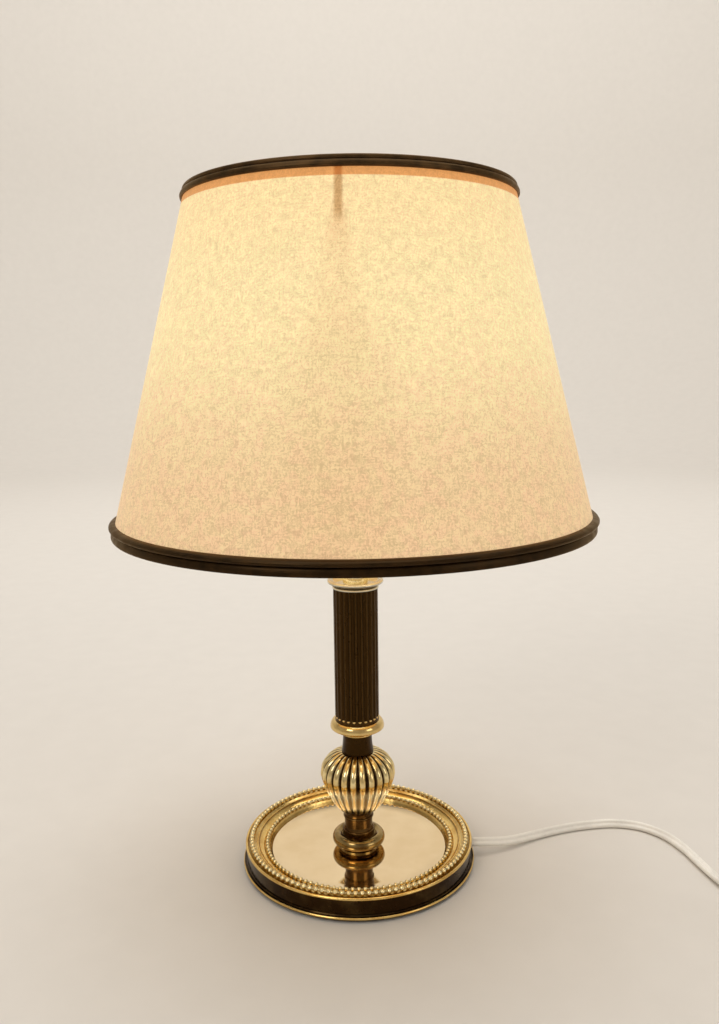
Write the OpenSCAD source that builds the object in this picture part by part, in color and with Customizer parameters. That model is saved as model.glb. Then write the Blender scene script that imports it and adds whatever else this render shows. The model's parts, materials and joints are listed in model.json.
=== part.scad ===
// Brass table lamp with a fluted column, a gadrooned knop, a beaded dish base
// and a tapered linen shade. Millimetres. The lamp stands on z = 0, its stem is
// the Z axis, its front is -Y and its cord leaves the base along +X.

/* [Base] */
// Diameter across the bottom flange
base_d = 153.5; // [148:0.5:165]
// Diameter of the rounded top edge of the rim
rim_d = 150.5; // [146:0.5:153]
// Height of the top edge of the rim above the table
rim_z = 15.2; // [14.5:0.1:17]
// Height of the bottom flange
flange_h = 2; // [1.6:0.1:2.6]
// How far the side band lies inside the top edge
band_inset = 0.9; // [0.5:0.1:1.5]
// Radius of the roll along the top edge
rim_roll_r = 0.9; // [0.7:0.1:1.1]
// Thickness of the felt under the base
felt_t = 1.6; // [1:0.1:1.8]
// How far the felt stays inside the flange
felt_inset = 2.5; // [1:0.5:5]
// Width of the rim from its top edge in to the polished plate
rim_w = 17.5; // [17:0.1:18.5]
// Thickness of the polished plate
plate_t = 1.2; // [0.8:0.1:1.5]
// Height of the polished face above the table
plate_z = 7.3; // [7:0.1:8]
// Width of the ledge that carries the plate
ledge_w = 4; // [2:0.5:6]
// Thickness of the base casting's side wall
base_wall = 2.4; // [1.8:0.1:3]
// Diameter of the hole in the middle of the ballast and the felt
ballast_hole_d = 30; // [27:0.5:36]

/* [Beading] */
// Diameter of an outer bead
outer_bead_d = 3.1; // [2.6:0.1:3.4]
// Length of rim that each outer bead takes
outer_bead_pitch = 4.02; // [3.9:0.01:4.6]
// Distance from the top edge in to the middle of the outer beads
outer_bead_inset = 4.25; // [4:0.05:4.8]
// Diameter of an inner bead
inner_bead_d = 2.6; // [2.2:0.1:2.8]
// Length of rim that each inner bead takes
inner_bead_pitch = 3.83; // [3.6:0.01:4.4]
// Distance from the polished plate's edge out to the middle of the inner beads
inner_bead_inset = 3.25; // [3:0.05:3.6]
// Height of the seat of the outer beads
outer_seat_z = 14.6; // [14.2:0.1:15]
// Height of the seat of the inner beads
inner_seat_z = 11.2; // [10.8:0.1:11.6]

/* [Stem] */
// Outer diameter of the threaded tube that holds the stem together
rod_d = 10; // [9:0.5:11]
// Bore of the threaded tube
rod_bore_d = 7; // [6:0.5:7.5]
// Diameter of the round foot
foot_d = 34.8; // [32:0.2:38]
// Thickness of the foot's roll
foot_roll_d = 8; // [7:0.2:9]
// Height of the foot's roll above the polished plate
foot_roll_h = 6.5; // [5.6:0.1:7.5]
// Diameter of the step over the foot
step_d = 21.4; // [19:0.2:23]
// Height of the step over the foot
step_h = 4.4; // [3:0.1:6]
// Diameter of the lower neck
lower_neck_d = 18.5; // [16:0.1:20]
// Height of the lower neck, with its step
lower_neck_h = 17.4; // [14:0.1:20]
// Diameter of the knop
knop_d = 49.4; // [44:0.2:56]
// Diameter of the knop's ends
knop_end_d = 20.6; // [18:0.2:24]
// Height of the knop
knop_h = 40.4; // [36:0.2:48]
// Height of the knop's widest line above its foot
knop_wide_h = 25.9; // [22:0.1:30]
// Number of gadroons round the knop
gadroons = 24; // [16:1:30]
// Depth of the grooves between the gadroons
gadroon_depth = 1.9; // [0.8:0.1:2.2]
// Diameter of the upper neck at its foot
upper_neck_d = 21; // [19:0.2:23]
// Diameter of the upper neck at its top
upper_neck_top_d = 18.8; // [17:0.2:20]
// Height of the upper neck
upper_neck_h = 12.5; // [9:0.1:16]
// Diameter of the collar under the column
collar_d = 35.4; // [33:0.2:39]
// Height of the collar's roll
collar_roll_h = 5.9; // [5:0.1:7]
// Height of the collar
collar_h = 10; // [9:0.1:12]
// Diameter of the fluted column
column_d = 28.6; // [27.4:0.2:30]
// Height of the fluted column
column_h = 87.8; // [60:0.2:110]
// Wall of the fluted column, to the ridges
column_wall = 2.2; // [1.8:0.1:2.6]
// Number of flutes
flutes = 24; // [16:1:28]
// Diameter of the round cutter of one flute
flute_d = 2.9; // [2.4:0.1:3.1]
// Depth of a flute
flute_depth = 0.9; // [0.5:0.05:1.1]
// Plain length left under the round end of each flute
flute_end = 1.6; // [1:0.1:4]
// Diameter of the cup over the column
cup_d = 36.2; // [34:0.2:40]
// Height of the cup over the column
cup_h = 5.6; // [5:0.1:8]
// Length of the spigots that centre the column
spigot_h = 5; // [3:0.5:8]
// Diameter of the riser tube under the lampholder
riser_d = 16; // [14:0.5:18]
// Length of the riser tube
riser_h = 55.5; // [40:0.5:60]

/* [Lampholder and bulb] */
// Outer diameter of the lampholder
holder_d = 40; // [39:0.1:41]
// Height of the lampholder's lower cap
holder_cap_h = 20; // [19:0.5:24]
// Height of the lampholder's outer sleeve
holder_sleeve_h = 38; // [36:0.5:42]
// Wall of the lampholder's outer sleeve
holder_wall = 2; // [1.6:0.1:2.4]
// Height of the insulating block
insulator_h = 14; // [12:0.5:16]
// Height of each ring nut that clamps the shade
ring_nut_h = 5; // [4:0.5:7]
// Outer diameter of the ring nuts
ring_nut_d = 49; // [47:0.5:50]
// Distance from the lampholder's top down to the shade's fitting washer
washer_drop = 11.7; // [10:0.1:16]
// Diameter of the bulb
bulb_d = 60; // [50:1:64]
// Length of the bulb with its screw cap
bulb_h = 105; // [100:1:112]
// Diameter of the bulb's screw cap
bulb_cap_d = 26; // [25.6:0.1:26.2]
// Rise of the bulb for one turn of its screw
bulb_pitch = 3.63; // [3.4:0.01:3.8]
// Wall of the bulb's glass
glass_t = 0.9; // [0.6:0.1:1.2]

/* [Shade] */
// Diameter of the fabric at its lower edge
shade_bottom_d = 295.8; // [280:0.2:310]
// Diameter of the fabric at its upper edge
shade_top_d = 194.6; // [190:0.2:210]
// Height of the fabric from edge to edge
shade_h = 200.4; // [190:0.2:215]
// Thickness of the laminated linen
fabric_t = 0.8; // [0.5:0.1:1.2]
// Height of the lower trim
bottom_trim_h = 8.6; // [7:0.2:11]
// Height of the upper trim
top_trim_h = 6.2; // [5:0.2:8]
// How far the upper trim stands proud of the fabric
top_trim_proud = 1.9; // [1.5:0.1:2.5]
// How far the bead along the lower trim stands proud of the fabric
bead_proud = 3.6; // [2:0.1:4]
// How far the rib under that bead stands proud of the fabric
rib_proud = 1.3; // [1:0.1:2]
// Width of the tape inside the fabric below the upper wire
hem_tape_w = 5.6; // [4:0.2:8]
// Diameter of the shade's wires
wire_d = 3; // [2.4:0.1:3.4]
// Number of arms between the washer and the upper wire
arm_count = 3; // [3:1:4]
// Distance that the arms run down along the fabric
arm_drop = 22; // [14:1:30]
// Direction of the first arm, in degrees from +X
arm_angle = 266.4; // [0:0.1:359]
// Outer diameter of the fitting washer
washer_d = 54; // [52:0.5:58]
// Thickness of the fitting washer
washer_t = 2; // [1.5:0.1:2.5]
// Height of the shade's lower edge above the lampholder's top
shade_sink = 75.1; // [65:0.1:80]

/* [Cord] */
// Width of the flat twin cord
cord_w = 6; // [5:0.1:6.2]
// Thickness of the flat twin cord
cord_t = 3.2; // [2.6:0.1:3.3]
// Height of the cord where it leaves the base
cord_exit_z = 8.2; // [8:0.1:8.4]
// Outer diameter of the cord's bush
bush_d = 7.4; // [7:0.1:7.6]
// How far the bush stands out of the side band
bush_out = 1.15; // [0.6:0.05:1.6]
// Diameter of each insulated wire inside the stem
wire_core_d = 1.6; // [1.2:0.1:1.8]
// Layers of the put-away coil
coil_layers = 4; // [2:2:4]
// Turns in each layer of the coil
coil_layer_turns = 1.25; // [1.25:1:2.25]
// Radius of the coil's innermost turn
coil_in_r = 29.8; // [27:0.1:33]
// Distance between turns that lie beside each other
coil_step = 6.8; // [6.7:0.1:7.4]
// Distance between the layers of the coil
coil_rise = 3.8; // [3.7:0.1:4.4]
// Thickness of the strap that ties the coil
tie_t = 0.8; // [0.6:0.1:1]
// Width of the strap that ties the coil
tie_w = 7; // [5:0.5:9]

/* [Cord switch] */
// Length of the cord switch
switch_l = 62; // [58:1:70]
// Width of the cord switch
switch_w = 26; // [24:0.5:30]
// Height of the cord switch
switch_h = 17; // [16:0.5:19]
// Height of the joint between its two halves
switch_split_z = 8.6; // [8.2:0.1:9]
// Wall of the switch housing
switch_wall = 1.8; // [1.5:0.1:2.2]
// Length of the rocker
rocker_l = 22; // [18:0.5:24]
// Width of the rocker
rocker_w = 11; // [9:0.5:13]
// Tilt of the rocker at rest
rocker_tilt = 7; // [4:0.5:8]

/* [Plug] */
// Width of the plug
plug_w = 35; // [33:0.5:37]
// Thickness of the plug
plug_t = 14; // [13:0.5:15]
// Length of the plug's body
plug_l = 23; // [20:0.5:28]
// Length of the tapered strain relief
relief_l = 22; // [20:1:40]
// Diameter of a pin
pin_d = 4; // [3.9:0.05:4.1]
// Length of a pin
pin_l = 19; // [18:0.5:20]
// Distance between the pins
pin_spacing = 18.6; // [17.6:0.1:19]

/* [Hidden] */
$fn = 96;

// Clearances: between coaxial pieces, between bodies that move on each other,
// and between faces that lie along each other
fit = 0.2;
play = 0.3;
seat_gap = 0.05;
// A cut runs this far past the faces that it goes through
past = 1;
// The ball at a bar's corner is a little larger than the bar
corner_swell = 1.1;
// Steps in a rounded stretch of an outline
arc_steps = 18;

flange_r = base_d / 2;
rim_r = rim_d / 2;
band_r = rim_r - band_inset;
plate_r = rim_r - rim_w;
plate_under = plate_z - plate_t;
ledge_r = plate_r - ledge_w;
outer_bead_r = rim_r - outer_bead_inset;
inner_bead_r = plate_r + inner_bead_inset;
// The hollow under the rim, where the cord comes in
hollow_in_r = inner_bead_r + 2.6;
hollow_out_r = band_r - base_wall;
hollow_top = inner_seat_z - 0.3;
slot_w = cord_w + 1.5;

// Heights up the stem, each piece standing on the one before
foot_top = plate_z + foot_roll_h + foot_roll_d / 2;
foot_dish = 1.4;
neck_z = foot_top - foot_dish;
knop_z = neck_z + lower_neck_h;
upper_neck_z = knop_z + knop_h;
collar_z = upper_neck_z + upper_neck_h;
column_z = collar_z + collar_h;
cup_z = column_z + column_h;
cup_dish = 2;
riser_z = cup_z + cup_h - cup_dish;
holder_z = riser_z + riser_h;
sleeve_z = holder_z + holder_cap_h;
holder_top = sleeve_z + holder_sleeve_h;
rod_r = rod_d / 2;
stem_bore_r = rod_r + fit;
column_bore_r = column_d / 2 - column_wall;
spigot_r = column_bore_r - fit;

// Fasteners at the two ends of the threaded tube
washer_plate_t = 0.8;
thin_nut_t = 2.5;
nut_across = 14;
washer_plate_d = 24;
rod_z = plate_under - washer_plate_t - thin_nut_t;
holder_floor_t = 3;
rod_top = holder_z + holder_floor_t + thin_nut_t + 2;

// Inside the lampholder
holder_r = holder_d / 2;
insulator_z = sleeve_z - 5;
insulator_r = holder_r - holder_wall - 0.5;
contact_z = insulator_z + insulator_h;
contact_h = 2.7;
bulb_z = contact_z + contact_h + play;
bulb_cap_r = bulb_cap_d / 2;
shell_r = bulb_cap_r + play + 0.05;
shell_t = 0.55;
cap_foot_h = 5.2;
cap_h = 23;
bulb_r = bulb_d / 2;
bulb_mid_z = bulb_z + bulb_h - bulb_r;
glass_z = bulb_z + cap_foot_h + cap_h - 2;
glass_neck_r = bulb_cap_r + 0.6;

// The shade
washer_z = holder_top - washer_drop;
washer_bore_r = holder_r + 1;
nut_r = ring_nut_d / 2;
shade_z = holder_top - shade_sink;
shade_top = shade_z + shade_h;
shade_slope = (shade_bottom_d - shade_top_d) / 2 / shade_h;
function fabric_out(z) = shade_top_d / 2 + (shade_top - z) * shade_slope;
function fabric_in(z) = fabric_out(z) - fabric_t;
wire_r = wire_d / 2;
wire_seat = 0.25;
edge_inset = 2.4;
top_wire_z = shade_top - edge_inset;
bottom_wire_z = shade_z + edge_inset;
function wire_path_r(z) = fabric_in(z) - wire_seat - wire_r * sqrt(1 + shade_slope * shade_slope);

// The cord's route, chosen by hand: its middle line on the table, with x counted from its exit
cord_exit_x = band_r + bush_out;
lead_turns = [[12.5, 1, 7.6], [28.5, 7, 5.2], [46.5, 17, 3.3], [65.5, 25, 2.8], [84.5, 30, 2.8],
  [104.5, 32, 2.8], [122.5, 27, 2.8], [135.5, 14, 2.8], [142.5, -3, 2.8], [146.5, -22, 2.8],
  [150.5, -40, 3], [155, -54, 4.2], [157.2, -64, 5]];
switch_x = cord_exit_x + 157.5;
switch_y = -72;
// After the switch the cord lies along Y, so only (y, height) is given
tail_turns = [[-142, 4.6], [-152, 3.4], [-162, 2.7]];
coil_y = -184;
end_turns = [[-166, 13.2], [-154, 11.2], [-144, 9.2], [-134, 7.6]];
plug_y = -118;

switch_cord_z = 5.2;
coil_out_r = coil_in_r + coil_layer_turns * coil_step;
coil_x = switch_x + coil_out_r;
coil_z = tie_t + seat_gap + cord_t / 2;
coil_top_z = coil_z + (coil_layers - 1) * coil_rise;
coil_turns = coil_layers * coil_layer_turns + (coil_layers - 1) / 2;
plug_x = coil_x + coil_out_r;
plug_z = plug_t / 2;

lead_route = concat([[cord_exit_x, 0, cord_exit_z]], [for (p = lead_turns) p + [cord_exit_x, 0, 0]],
  [[switch_x, switch_y, switch_cord_z]]);
tail_route = concat([[switch_x, switch_y - switch_l, switch_cord_z]],
  [for (p = tail_turns) [switch_x, p[0], p[1]]],
  [[switch_x, coil_y + 2 * cord_w, coil_z], [switch_x, coil_y + cord_w, coil_z]]);
end_route = concat([[plug_x, coil_y + cord_w, coil_top_z], [plug_x, coil_y + 2 * cord_w, coil_top_z]],
  [for (p = end_turns) [plug_x, p[0], p[1]]], [[plug_x, plug_y, plug_z]]);
// The cord's way inside the base, from its exit to where it is stripped
strip_x = 17;
inner_z = felt_t + cord_t / 2 + 0.7;
inner_route = [[strip_x, 0, inner_z], [ledge_r, 0, inner_z], [hollow_in_r - 1, 0, inner_z + 0.3],
  [hollow_in_r + 4, 0, (inner_z + cord_exit_z) / 2], [hollow_out_r - 1, 0, cord_exit_z],
  [cord_exit_x, 0, cord_exit_z]];

// Points on an arc round (r, z)
function arc(r, z, radius, from, to) = [for (i = [0 : arc_steps])
  let (a = from + (to - from) * i / arc_steps) [r + radius * cos(a), z + radius * sin(a)]];

// A straight stretch of the list, both ends kept
function part_of(list, first, last) = [for (i = [first : last]) list[i]];
function total(list, i = 0) = i < len(list) ? list[i] + total(list, i + 1) : 0;
function route_length(points) = total([for (i = [1 : len(points) - 1]) norm(points[i] - points[i - 1])]);
function unit(v) = v / norm(v);

// Smooth points through a route, with some more between each two
function smooth_point(p, i, t) =
  let (a = p[max(i - 1, 0)], b = p[i], c = p[i + 1], d = p[min(i + 2, len(p) - 1)])
  0.5 * (2 * b + (c - a) * t + (2 * a - 5 * b + 4 * c - d) * t * t + (3 * b - a - 3 * c + d) * t * t * t);
function smooth(p, steps) = concat(
  [for (i = [0 : len(p) - 2], k = [0 : steps - 1]) smooth_point(p, i, k / steps)], [p[len(p) - 1]]);

// The flat cord's outline, as (sideways, up), with the widest points at its edges
function flat_section(sides) = [for (k = [0 : sides - 1])
  [cord_w / 2 * cos(360 * k / sides), cord_t / 2 * sin(360 * k / sides)
    * (sides == 6 ? 1 / sin(60) : 1)]];

// The section at each point of a path, held flat
function rings(path, section) = [for (i = [0 : len(path) - 1])
  let (ahead = unit(path[min(i + 1, len(path) - 1)] - path[max(i - 1, 0)]),
    side = unit(cross(ahead, [0, 0, 1])), up = cross(side, ahead))
  [for (s = section) path[i] + side * s[0] + up * s[1]]];

// One closed tube through rings of points
module tube(list) {
  sides = len(list[0]);
  count = len(list);
  walls = [for (i = [0 : count - 2], k = [0 : sides - 1])
    let (a = i * sides + k, b = i * sides + (k + 1) % sides)
    each [[a, b + sides, b], [a, a + sides, b + sides]]];
  first = [for (k = [1 : sides - 2]) [0, k, k + 1]];
  last = [for (k = [1 : sides - 2]) let (f = (count - 1) * sides) [f, f + k + 1, f + k]];
  polyhedron(points = [for (r = list, p = r) p], faces = concat(walls, first, last), convexity = 6);
}

// A round rod between two points
module round_bar(a, b, radius) {
  run = b - a;
  turn = atan2(run[1], run[0]);
  tilt = acos(run[2] / norm(run));
  translate(a) rotate([0, tilt, turn]) cylinder(r = radius, h = norm(run), $fn = 32);
}

// Rods through a list of points with round corners
module bent_bar(points, radius) {
  for (i = [1 : len(points) - 1]) round_bar(points[i - 1], points[i], radius);
  for (i = [1 : len(points) - 2]) translate(points[i]) sphere(r = corner_swell * radius, $fn = 32);
}

module hex_nut(across, height, bore_r) {
  difference() {
    cylinder(d = across / cos(30), h = height, $fn = 6);
    translate([0, 0, -past]) cylinder(r = bore_r, h = height + 2 * past);
  }
}

// Base
module felt_pad() {
  color("saddlebrown") difference() {
    cylinder(r = flange_r - felt_inset, h = felt_t);
    translate([0, 0, -past]) cylinder(d = ballast_hole_d, h = felt_t + 2 * past);
  }
}

// The rim's section: flange, side band, top roll, bead seats, cove and plate ledge
module base_section() {
  edge = flange_h / 2;
  flange_top = felt_t + flange_h;
  fillet = 0.6;
  groove_z = outer_seat_z - 0.7;
  seat_out = outer_bead_r + 0.4 * outer_bead_d;
  seat_in = outer_bead_r - 0.5 * outer_bead_d;
  ridge_r = outer_bead_r - 3.95;
  ridge_z = outer_seat_z - 0.7;
  ridge_edge = 0.5;
  cove_r = 4;
  polygon(concat(
    [[ledge_r, felt_t]],
    arc(flange_r - edge, felt_t + edge, edge, -90, 90),
    [[band_r + fillet, flange_top], [band_r, flange_top + fillet], [band_r, rim_z - 2 * rim_roll_r]],
    arc(rim_r - rim_roll_r, rim_z - rim_roll_r, rim_roll_r, -60, 180),
    [[rim_r - 2 * rim_roll_r, groove_z], [seat_out, groove_z], [seat_out, outer_seat_z],
      [seat_in, outer_seat_z], [ridge_r + 2 * ridge_edge, ridge_z]],
    arc(ridge_r, ridge_z, ridge_edge, 0, 180),
    [[ridge_r - ridge_edge, ridge_z - ridge_edge]],
    arc(inner_bead_r + 2.2, inner_seat_z + 0.5 + cove_r, cove_r, -38, -90),
    [[inner_bead_r + inner_bead_d / 2 + 0.2, inner_seat_z],
      [inner_bead_r - inner_bead_d / 2 + 0.4, inner_seat_z], [plate_r + fit, plate_z + 0.6],
      [plate_r + fit, plate_under], [ledge_r, plate_under]]));
}

module base_ring() {
  color("goldenrod") difference() {
    rotate_extrude() base_section();
    rotate_extrude() translate([hollow_in_r, felt_t - past])
      square([hollow_out_r - hollow_in_r, hollow_top - felt_t + past]);
    // The bush's hole in the side band, and the cord's slot through the plate's ledge
    translate([hollow_out_r - 3, 0, cord_exit_z]) rotate([0, 90, 0])
      cylinder(d = bush_d, h = base_wall + 3 + past, $fn = 48);
    translate([ledge_r - past, -slot_w / 2, felt_t - past])
      cube([hollow_in_r - ledge_r + 2 * past, slot_w, plate_under - felt_t + past]);
  }
}

// A ring of beads on a thin wire
module beading(ring_r, bead_d, pitch, seat_z) {
  count = floor(2 * PI * ring_r / pitch);
  translate([0, 0, seat_z + bead_d / 2]) {
    rotate_extrude() translate([ring_r, 0]) circle(d = bead_d * 0.4, $fn = 24);
    for (i = [0 : count - 1]) rotate([0, 0, 360 * i / count])
      translate([ring_r, 0, 0]) sphere(d = bead_d, $fn = 32);
  }
}

module outer_beading() {
  color("gold") beading(outer_bead_r, outer_bead_d, outer_bead_pitch, outer_seat_z);
}

module inner_beading() {
  color("gold") beading(inner_bead_r, inner_bead_d, inner_bead_pitch, inner_seat_z);
}

module mirror_plate() {
  color("khaki") translate([0, 0, plate_under]) difference() {
    cylinder(r = plate_r, h = plate_t);
    translate([0, 0, -past]) cylinder(r = stem_bore_r, h = plate_t + 2 * past);
  }
}

module ballast_plate() {
  height = plate_under - felt_t;
  color("dimgray") translate([0, 0, felt_t]) difference() {
    cylinder(r = ledge_r - fit, h = height);
    translate([0, 0, -past]) cylinder(d = ballast_hole_d, h = height + 2 * past);
    translate([0, -slot_w / 2, -past]) cube([ledge_r + past, slot_w, height + 2 * past]);
  }
}

module base_washer() {
  color("silver") translate([0, 0, plate_under - washer_plate_t]) difference() {
    cylinder(d = washer_plate_d, h = washer_plate_t);
    translate([0, 0, -past]) cylinder(r = stem_bore_r, h = washer_plate_t + 2 * past);
  }
}

module base_nut() {
  color("goldenrod") translate([0, 0, rod_z]) hex_nut(nut_across, thin_nut_t, rod_r);
}

module cord_bush() {
  color("ivory") translate([hollow_out_r - 1, 0, cord_exit_z]) rotate([0, 90, 0]) difference() {
    cylinder(d = bush_d, h = base_wall + 1 + bush_out, $fn = 48);
    translate([0, 0, -past]) cylinder(d = cord_w + fit, h = base_wall + 2 * past + 1 + bush_out, $fn = 48);
  }
}

// Stem
module tie_rod() {
  color("silver") translate([0, 0, rod_z]) difference() {
    cylinder(r = rod_r, h = rod_top - rod_z);
    translate([0, 0, -past]) cylinder(d = rod_bore_d, h = rod_top - rod_z + 2 * past);
  }
}

module stem_foot() {
  roll_r = foot_roll_d / 2;
  roll_z = plate_z + foot_roll_h;
  middle = foot_d / 2 - roll_r;
  color("goldenrod") rotate_extrude() polygon(concat(
    [[stem_bore_r, plate_z], [middle - 0.6, plate_z], [middle - 0.6, plate_z + 0.8],
      [middle - 1.4, plate_z + 1.4]],
    arc(middle, roll_z, roll_r, -110, 90),
    [[step_d / 2 + 0.8, neck_z + 0.3], [step_d / 2 + 0.3, neck_z], [stem_bore_r, neck_z]]));
}

module lower_neck() {
  neck_r = lower_neck_d / 2;
  ring_z = knop_z - 4.5;
  ring_r = 0.8;
  step_edge = 0.8;
  step_top = neck_z + step_h;
  flare_z = ring_z + ring_r;
  color("goldenrod") rotate_extrude() polygon(concat(
    [[stem_bore_r, neck_z], [step_d / 2, neck_z]],
    arc(step_d / 2 - step_edge, step_top - step_edge, step_edge, 0, 90),
    [[neck_r + 0.5, step_top + 0.6], [neck_r, step_top + 2], [neck_r, ring_z - ring_r]],
    arc(neck_r, ring_z, ring_r, -90, 90),
    [for (i = [1 : arc_steps]) let (share = i / arc_steps)
      [neck_r + (knop_end_d / 2 - neck_r) * share * share, flare_z + (knop_z - flare_z) * share]],
    [[stem_bore_r, knop_z]]));
}

// Radius of the knop at a height over its foot, before the gadroons are cut in:
// a full swell below the widest line, and a rounder shoulder above it
swell_in = 1.25;
swell_out = 0.62;
shoulder_in = 2.05;
shoulder_out = 1.67;
function knop_r(h) = knop_end_d / 2 + (knop_d - knop_end_d) / 2
  * (h < knop_wide_h ? pow(1 - pow(1 - h / knop_wide_h, swell_in), swell_out)
    : pow(max(0, 1 - pow((h - knop_wide_h) / (knop_h - knop_wide_h), shoulder_in)), 1 / shoulder_out));

// Radius with the gadroons: round lobes that meet in sharp grooves, fading at the ends
function gadroon_r(h, turn) = let (lobe = 2 * (turn * gadroons / 360 - floor(turn * gadroons / 360)) - 1)
  knop_r(h) - gadroon_depth * lobe * lobe * sqrt((knop_r(h) - knop_end_d / 2) / (knop_d - knop_end_d) * 2);

module knop() {
  lobe_steps = 6;
  around = gadroons * lobe_steps;
  rows = 9;
  bore_r = stem_bore_r + fit;
  // Rows lie closer together near both ends, where the outline curves most
  heights = concat([for (i = [0 : rows]) knop_wide_h * pow(i / rows, 1.6)],
    [for (i = [1 : rows]) knop_wide_h + (knop_h - knop_wide_h) * sin(90 * i / rows)]);
  outline = [for (h = heights) [for (k = [0 : around - 1])
    let (a = 360 * k / around) [gadroon_r(h, a) * cos(a), gadroon_r(h, a) * sin(a), h]]];
  bore = [for (h = [knop_h, 0]) [for (k = [0 : around - 1])
    let (a = 360 * k / around) [bore_r * cos(a), bore_r * sin(a), h]]];
  loops = concat(outline, bore);
  faces = [for (i = [0 : len(loops) - 1], k = [0 : around - 1])
    let (a = i * around + k, b = i * around + (k + 1) % around,
      c = ((i + 1) % len(loops)) * around + k, d = ((i + 1) % len(loops)) * around + (k + 1) % around)
    each [[a, d, b], [a, c, d]]];
  color("gold") translate([0, 0, knop_z])
    polyhedron(points = [for (r = loops, p = r) p], faces = faces, convexity = 4);
}

module upper_neck() {
  foot_r = upper_neck_d / 2;
  top_r = upper_neck_top_d / 2;
  edge = 0.8;
  side_z = upper_neck_z + edge;
  color("saddlebrown") rotate_extrude() polygon(concat(
    [[stem_bore_r, upper_neck_z]],
    arc(foot_r - edge, side_z, edge, -90, 0),
    [for (i = [1 : arc_steps]) let (share = i / arc_steps)
      [top_r + (foot_r - top_r) * pow(1 - share, 2), side_z + (collar_z - side_z) * share]],
    [[stem_bore_r, collar_z]]));
}

// A small ring round the neck, and a roll that is flat below and rounds up to the column
module column_collar() {
  ring_r = 0.75;
  ring_at = upper_neck_top_d / 2 + 0.4;
  edge = 1.3;
  under_z = column_z - collar_roll_h;
  wide_z = under_z + edge;
  wide_r = collar_d / 2;
  top_r = column_d / 2 + 0.2;
  color("goldenrod") rotate_extrude() polygon(concat(
    [[stem_bore_r, collar_z]],
    arc(ring_at, collar_z + ring_r, ring_r, -90, 90),
    [[ring_at, under_z]],
    arc(wide_r - edge, wide_z, edge, -90, 0),
    [for (i = [1 : arc_steps]) let (a = 90 * i / arc_steps)
      [top_r + (wide_r - top_r) * cos(a), wide_z + (column_z - wide_z) * sin(a)]],
    [[spigot_r, column_z], [spigot_r, column_z + spigot_h], [stem_bore_r, column_z + spigot_h]]));
}

module fluted_column() {
  cutter_r = flute_d / 2;
  cutter_at = column_d / 2 + cutter_r - flute_depth;
  color("#3a2a18") translate([0, 0, column_z]) difference() {
    cylinder(d = column_d, h = column_h);
    translate([0, 0, -past]) cylinder(r = column_bore_r, h = column_h + 2 * past);
    for (i = [0 : flutes - 1]) rotate([0, 0, 360 * (i + 0.5) / flutes])
      translate([cutter_at, 0, flute_end + cutter_r]) {
        cylinder(r = cutter_r, h = column_h, $fn = 32);
        sphere(r = cutter_r, $fn = 32);
      }
  }
}

module column_cup() {
  ring_r = 1;
  lip_r = 0.9;
  lip_z = cup_z + cup_h - lip_r;
  ring_z = cup_z + ring_r;
  color("goldenrod") rotate_extrude() polygon(concat(
    [[stem_bore_r, cup_z - spigot_h], [spigot_r, cup_z - spigot_h], [spigot_r, cup_z]],
    arc(column_d / 2 - 0.2, ring_z, ring_r, -90, 80),
    arc(cup_d / 2 - lip_r, lip_z, lip_r, -60, 120),
    arc(riser_d / 2 + 4.5, riser_z + 3.4, 3.4, -25, -90),
    [[stem_bore_r, riser_z]]));
}

module riser_tube() {
  color("goldenrod") translate([0, 0, riser_z]) difference() {
    cylinder(d = riser_d, h = riser_h);
    translate([0, 0, -past]) cylinder(r = stem_bore_r, h = riser_h + 2 * past);
  }
}

// Lampholder
module holder_locknut() {
  color("goldenrod") translate([0, 0, holder_z + holder_floor_t]) hex_nut(nut_across, thin_nut_t, rod_r);
}

module holder_cap() {
  round_r = holder_cap_h - 8;
  wall = 1.3;
  color("goldenrod") rotate_extrude() polygon(concat(
    [[stem_bore_r, holder_z], [holder_r - round_r, holder_z]],
    arc(holder_r - round_r, holder_z + round_r, round_r, -90, 0),
    [[holder_r, sleeve_z], [insulator_r + fit, sleeve_z], [insulator_r + fit, insulator_z],
      [insulator_r - 1, insulator_z]],
    arc(holder_r - round_r, holder_z + round_r, round_r - wall - 1.2, 0, -70),
    [[holder_r - round_r, holder_z + holder_floor_t], [stem_bore_r, holder_z + holder_floor_t]]));
}

module holder_insulator() {
  color("white") translate([0, 0, insulator_z]) cylinder(r = insulator_r, h = insulator_h);
}

module terminal_screws() {
  head_d = 5;
  head_h = 2;
  color("gold") for (side = [-1, 1]) translate([side * 8.5, 0, insulator_z - head_h]) difference() {
    cylinder(d = head_d, h = head_h, $fn = 32);
    translate([-head_d, -0.4, -past]) cube([2 * head_d, 0.8, past + 0.9]);
  }
}

// A bent spring blade on the insulating block
module centre_contact() {
  blade_t = 0.5;
  blade_w = 6;
  half_l = 9;
  color("gold") translate([0, blade_w / 2, contact_z]) rotate([90, 0, 0]) linear_extrude(blade_w)
    polygon([[-half_l, 0], [-half_l + 4, 0], [-1, contact_h - blade_t], [3, contact_h - blade_t],
      [3, contact_h], [-1.3, contact_h], [-half_l + 3.8, blade_t], [-half_l, blade_t]]);
}

module screw_shell() {
  lip_t = 0.6;
  color("gold") translate([0, 0, contact_z]) difference() {
    union() {
      cylinder(r = shell_r + shell_t, h = cap_foot_h + cap_h - 6);
      cylinder(r = insulator_r, h = lip_t);
    }
    translate([0, 0, -past]) cylinder(r = shell_r, h = cap_foot_h + cap_h);
  }
}

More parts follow.
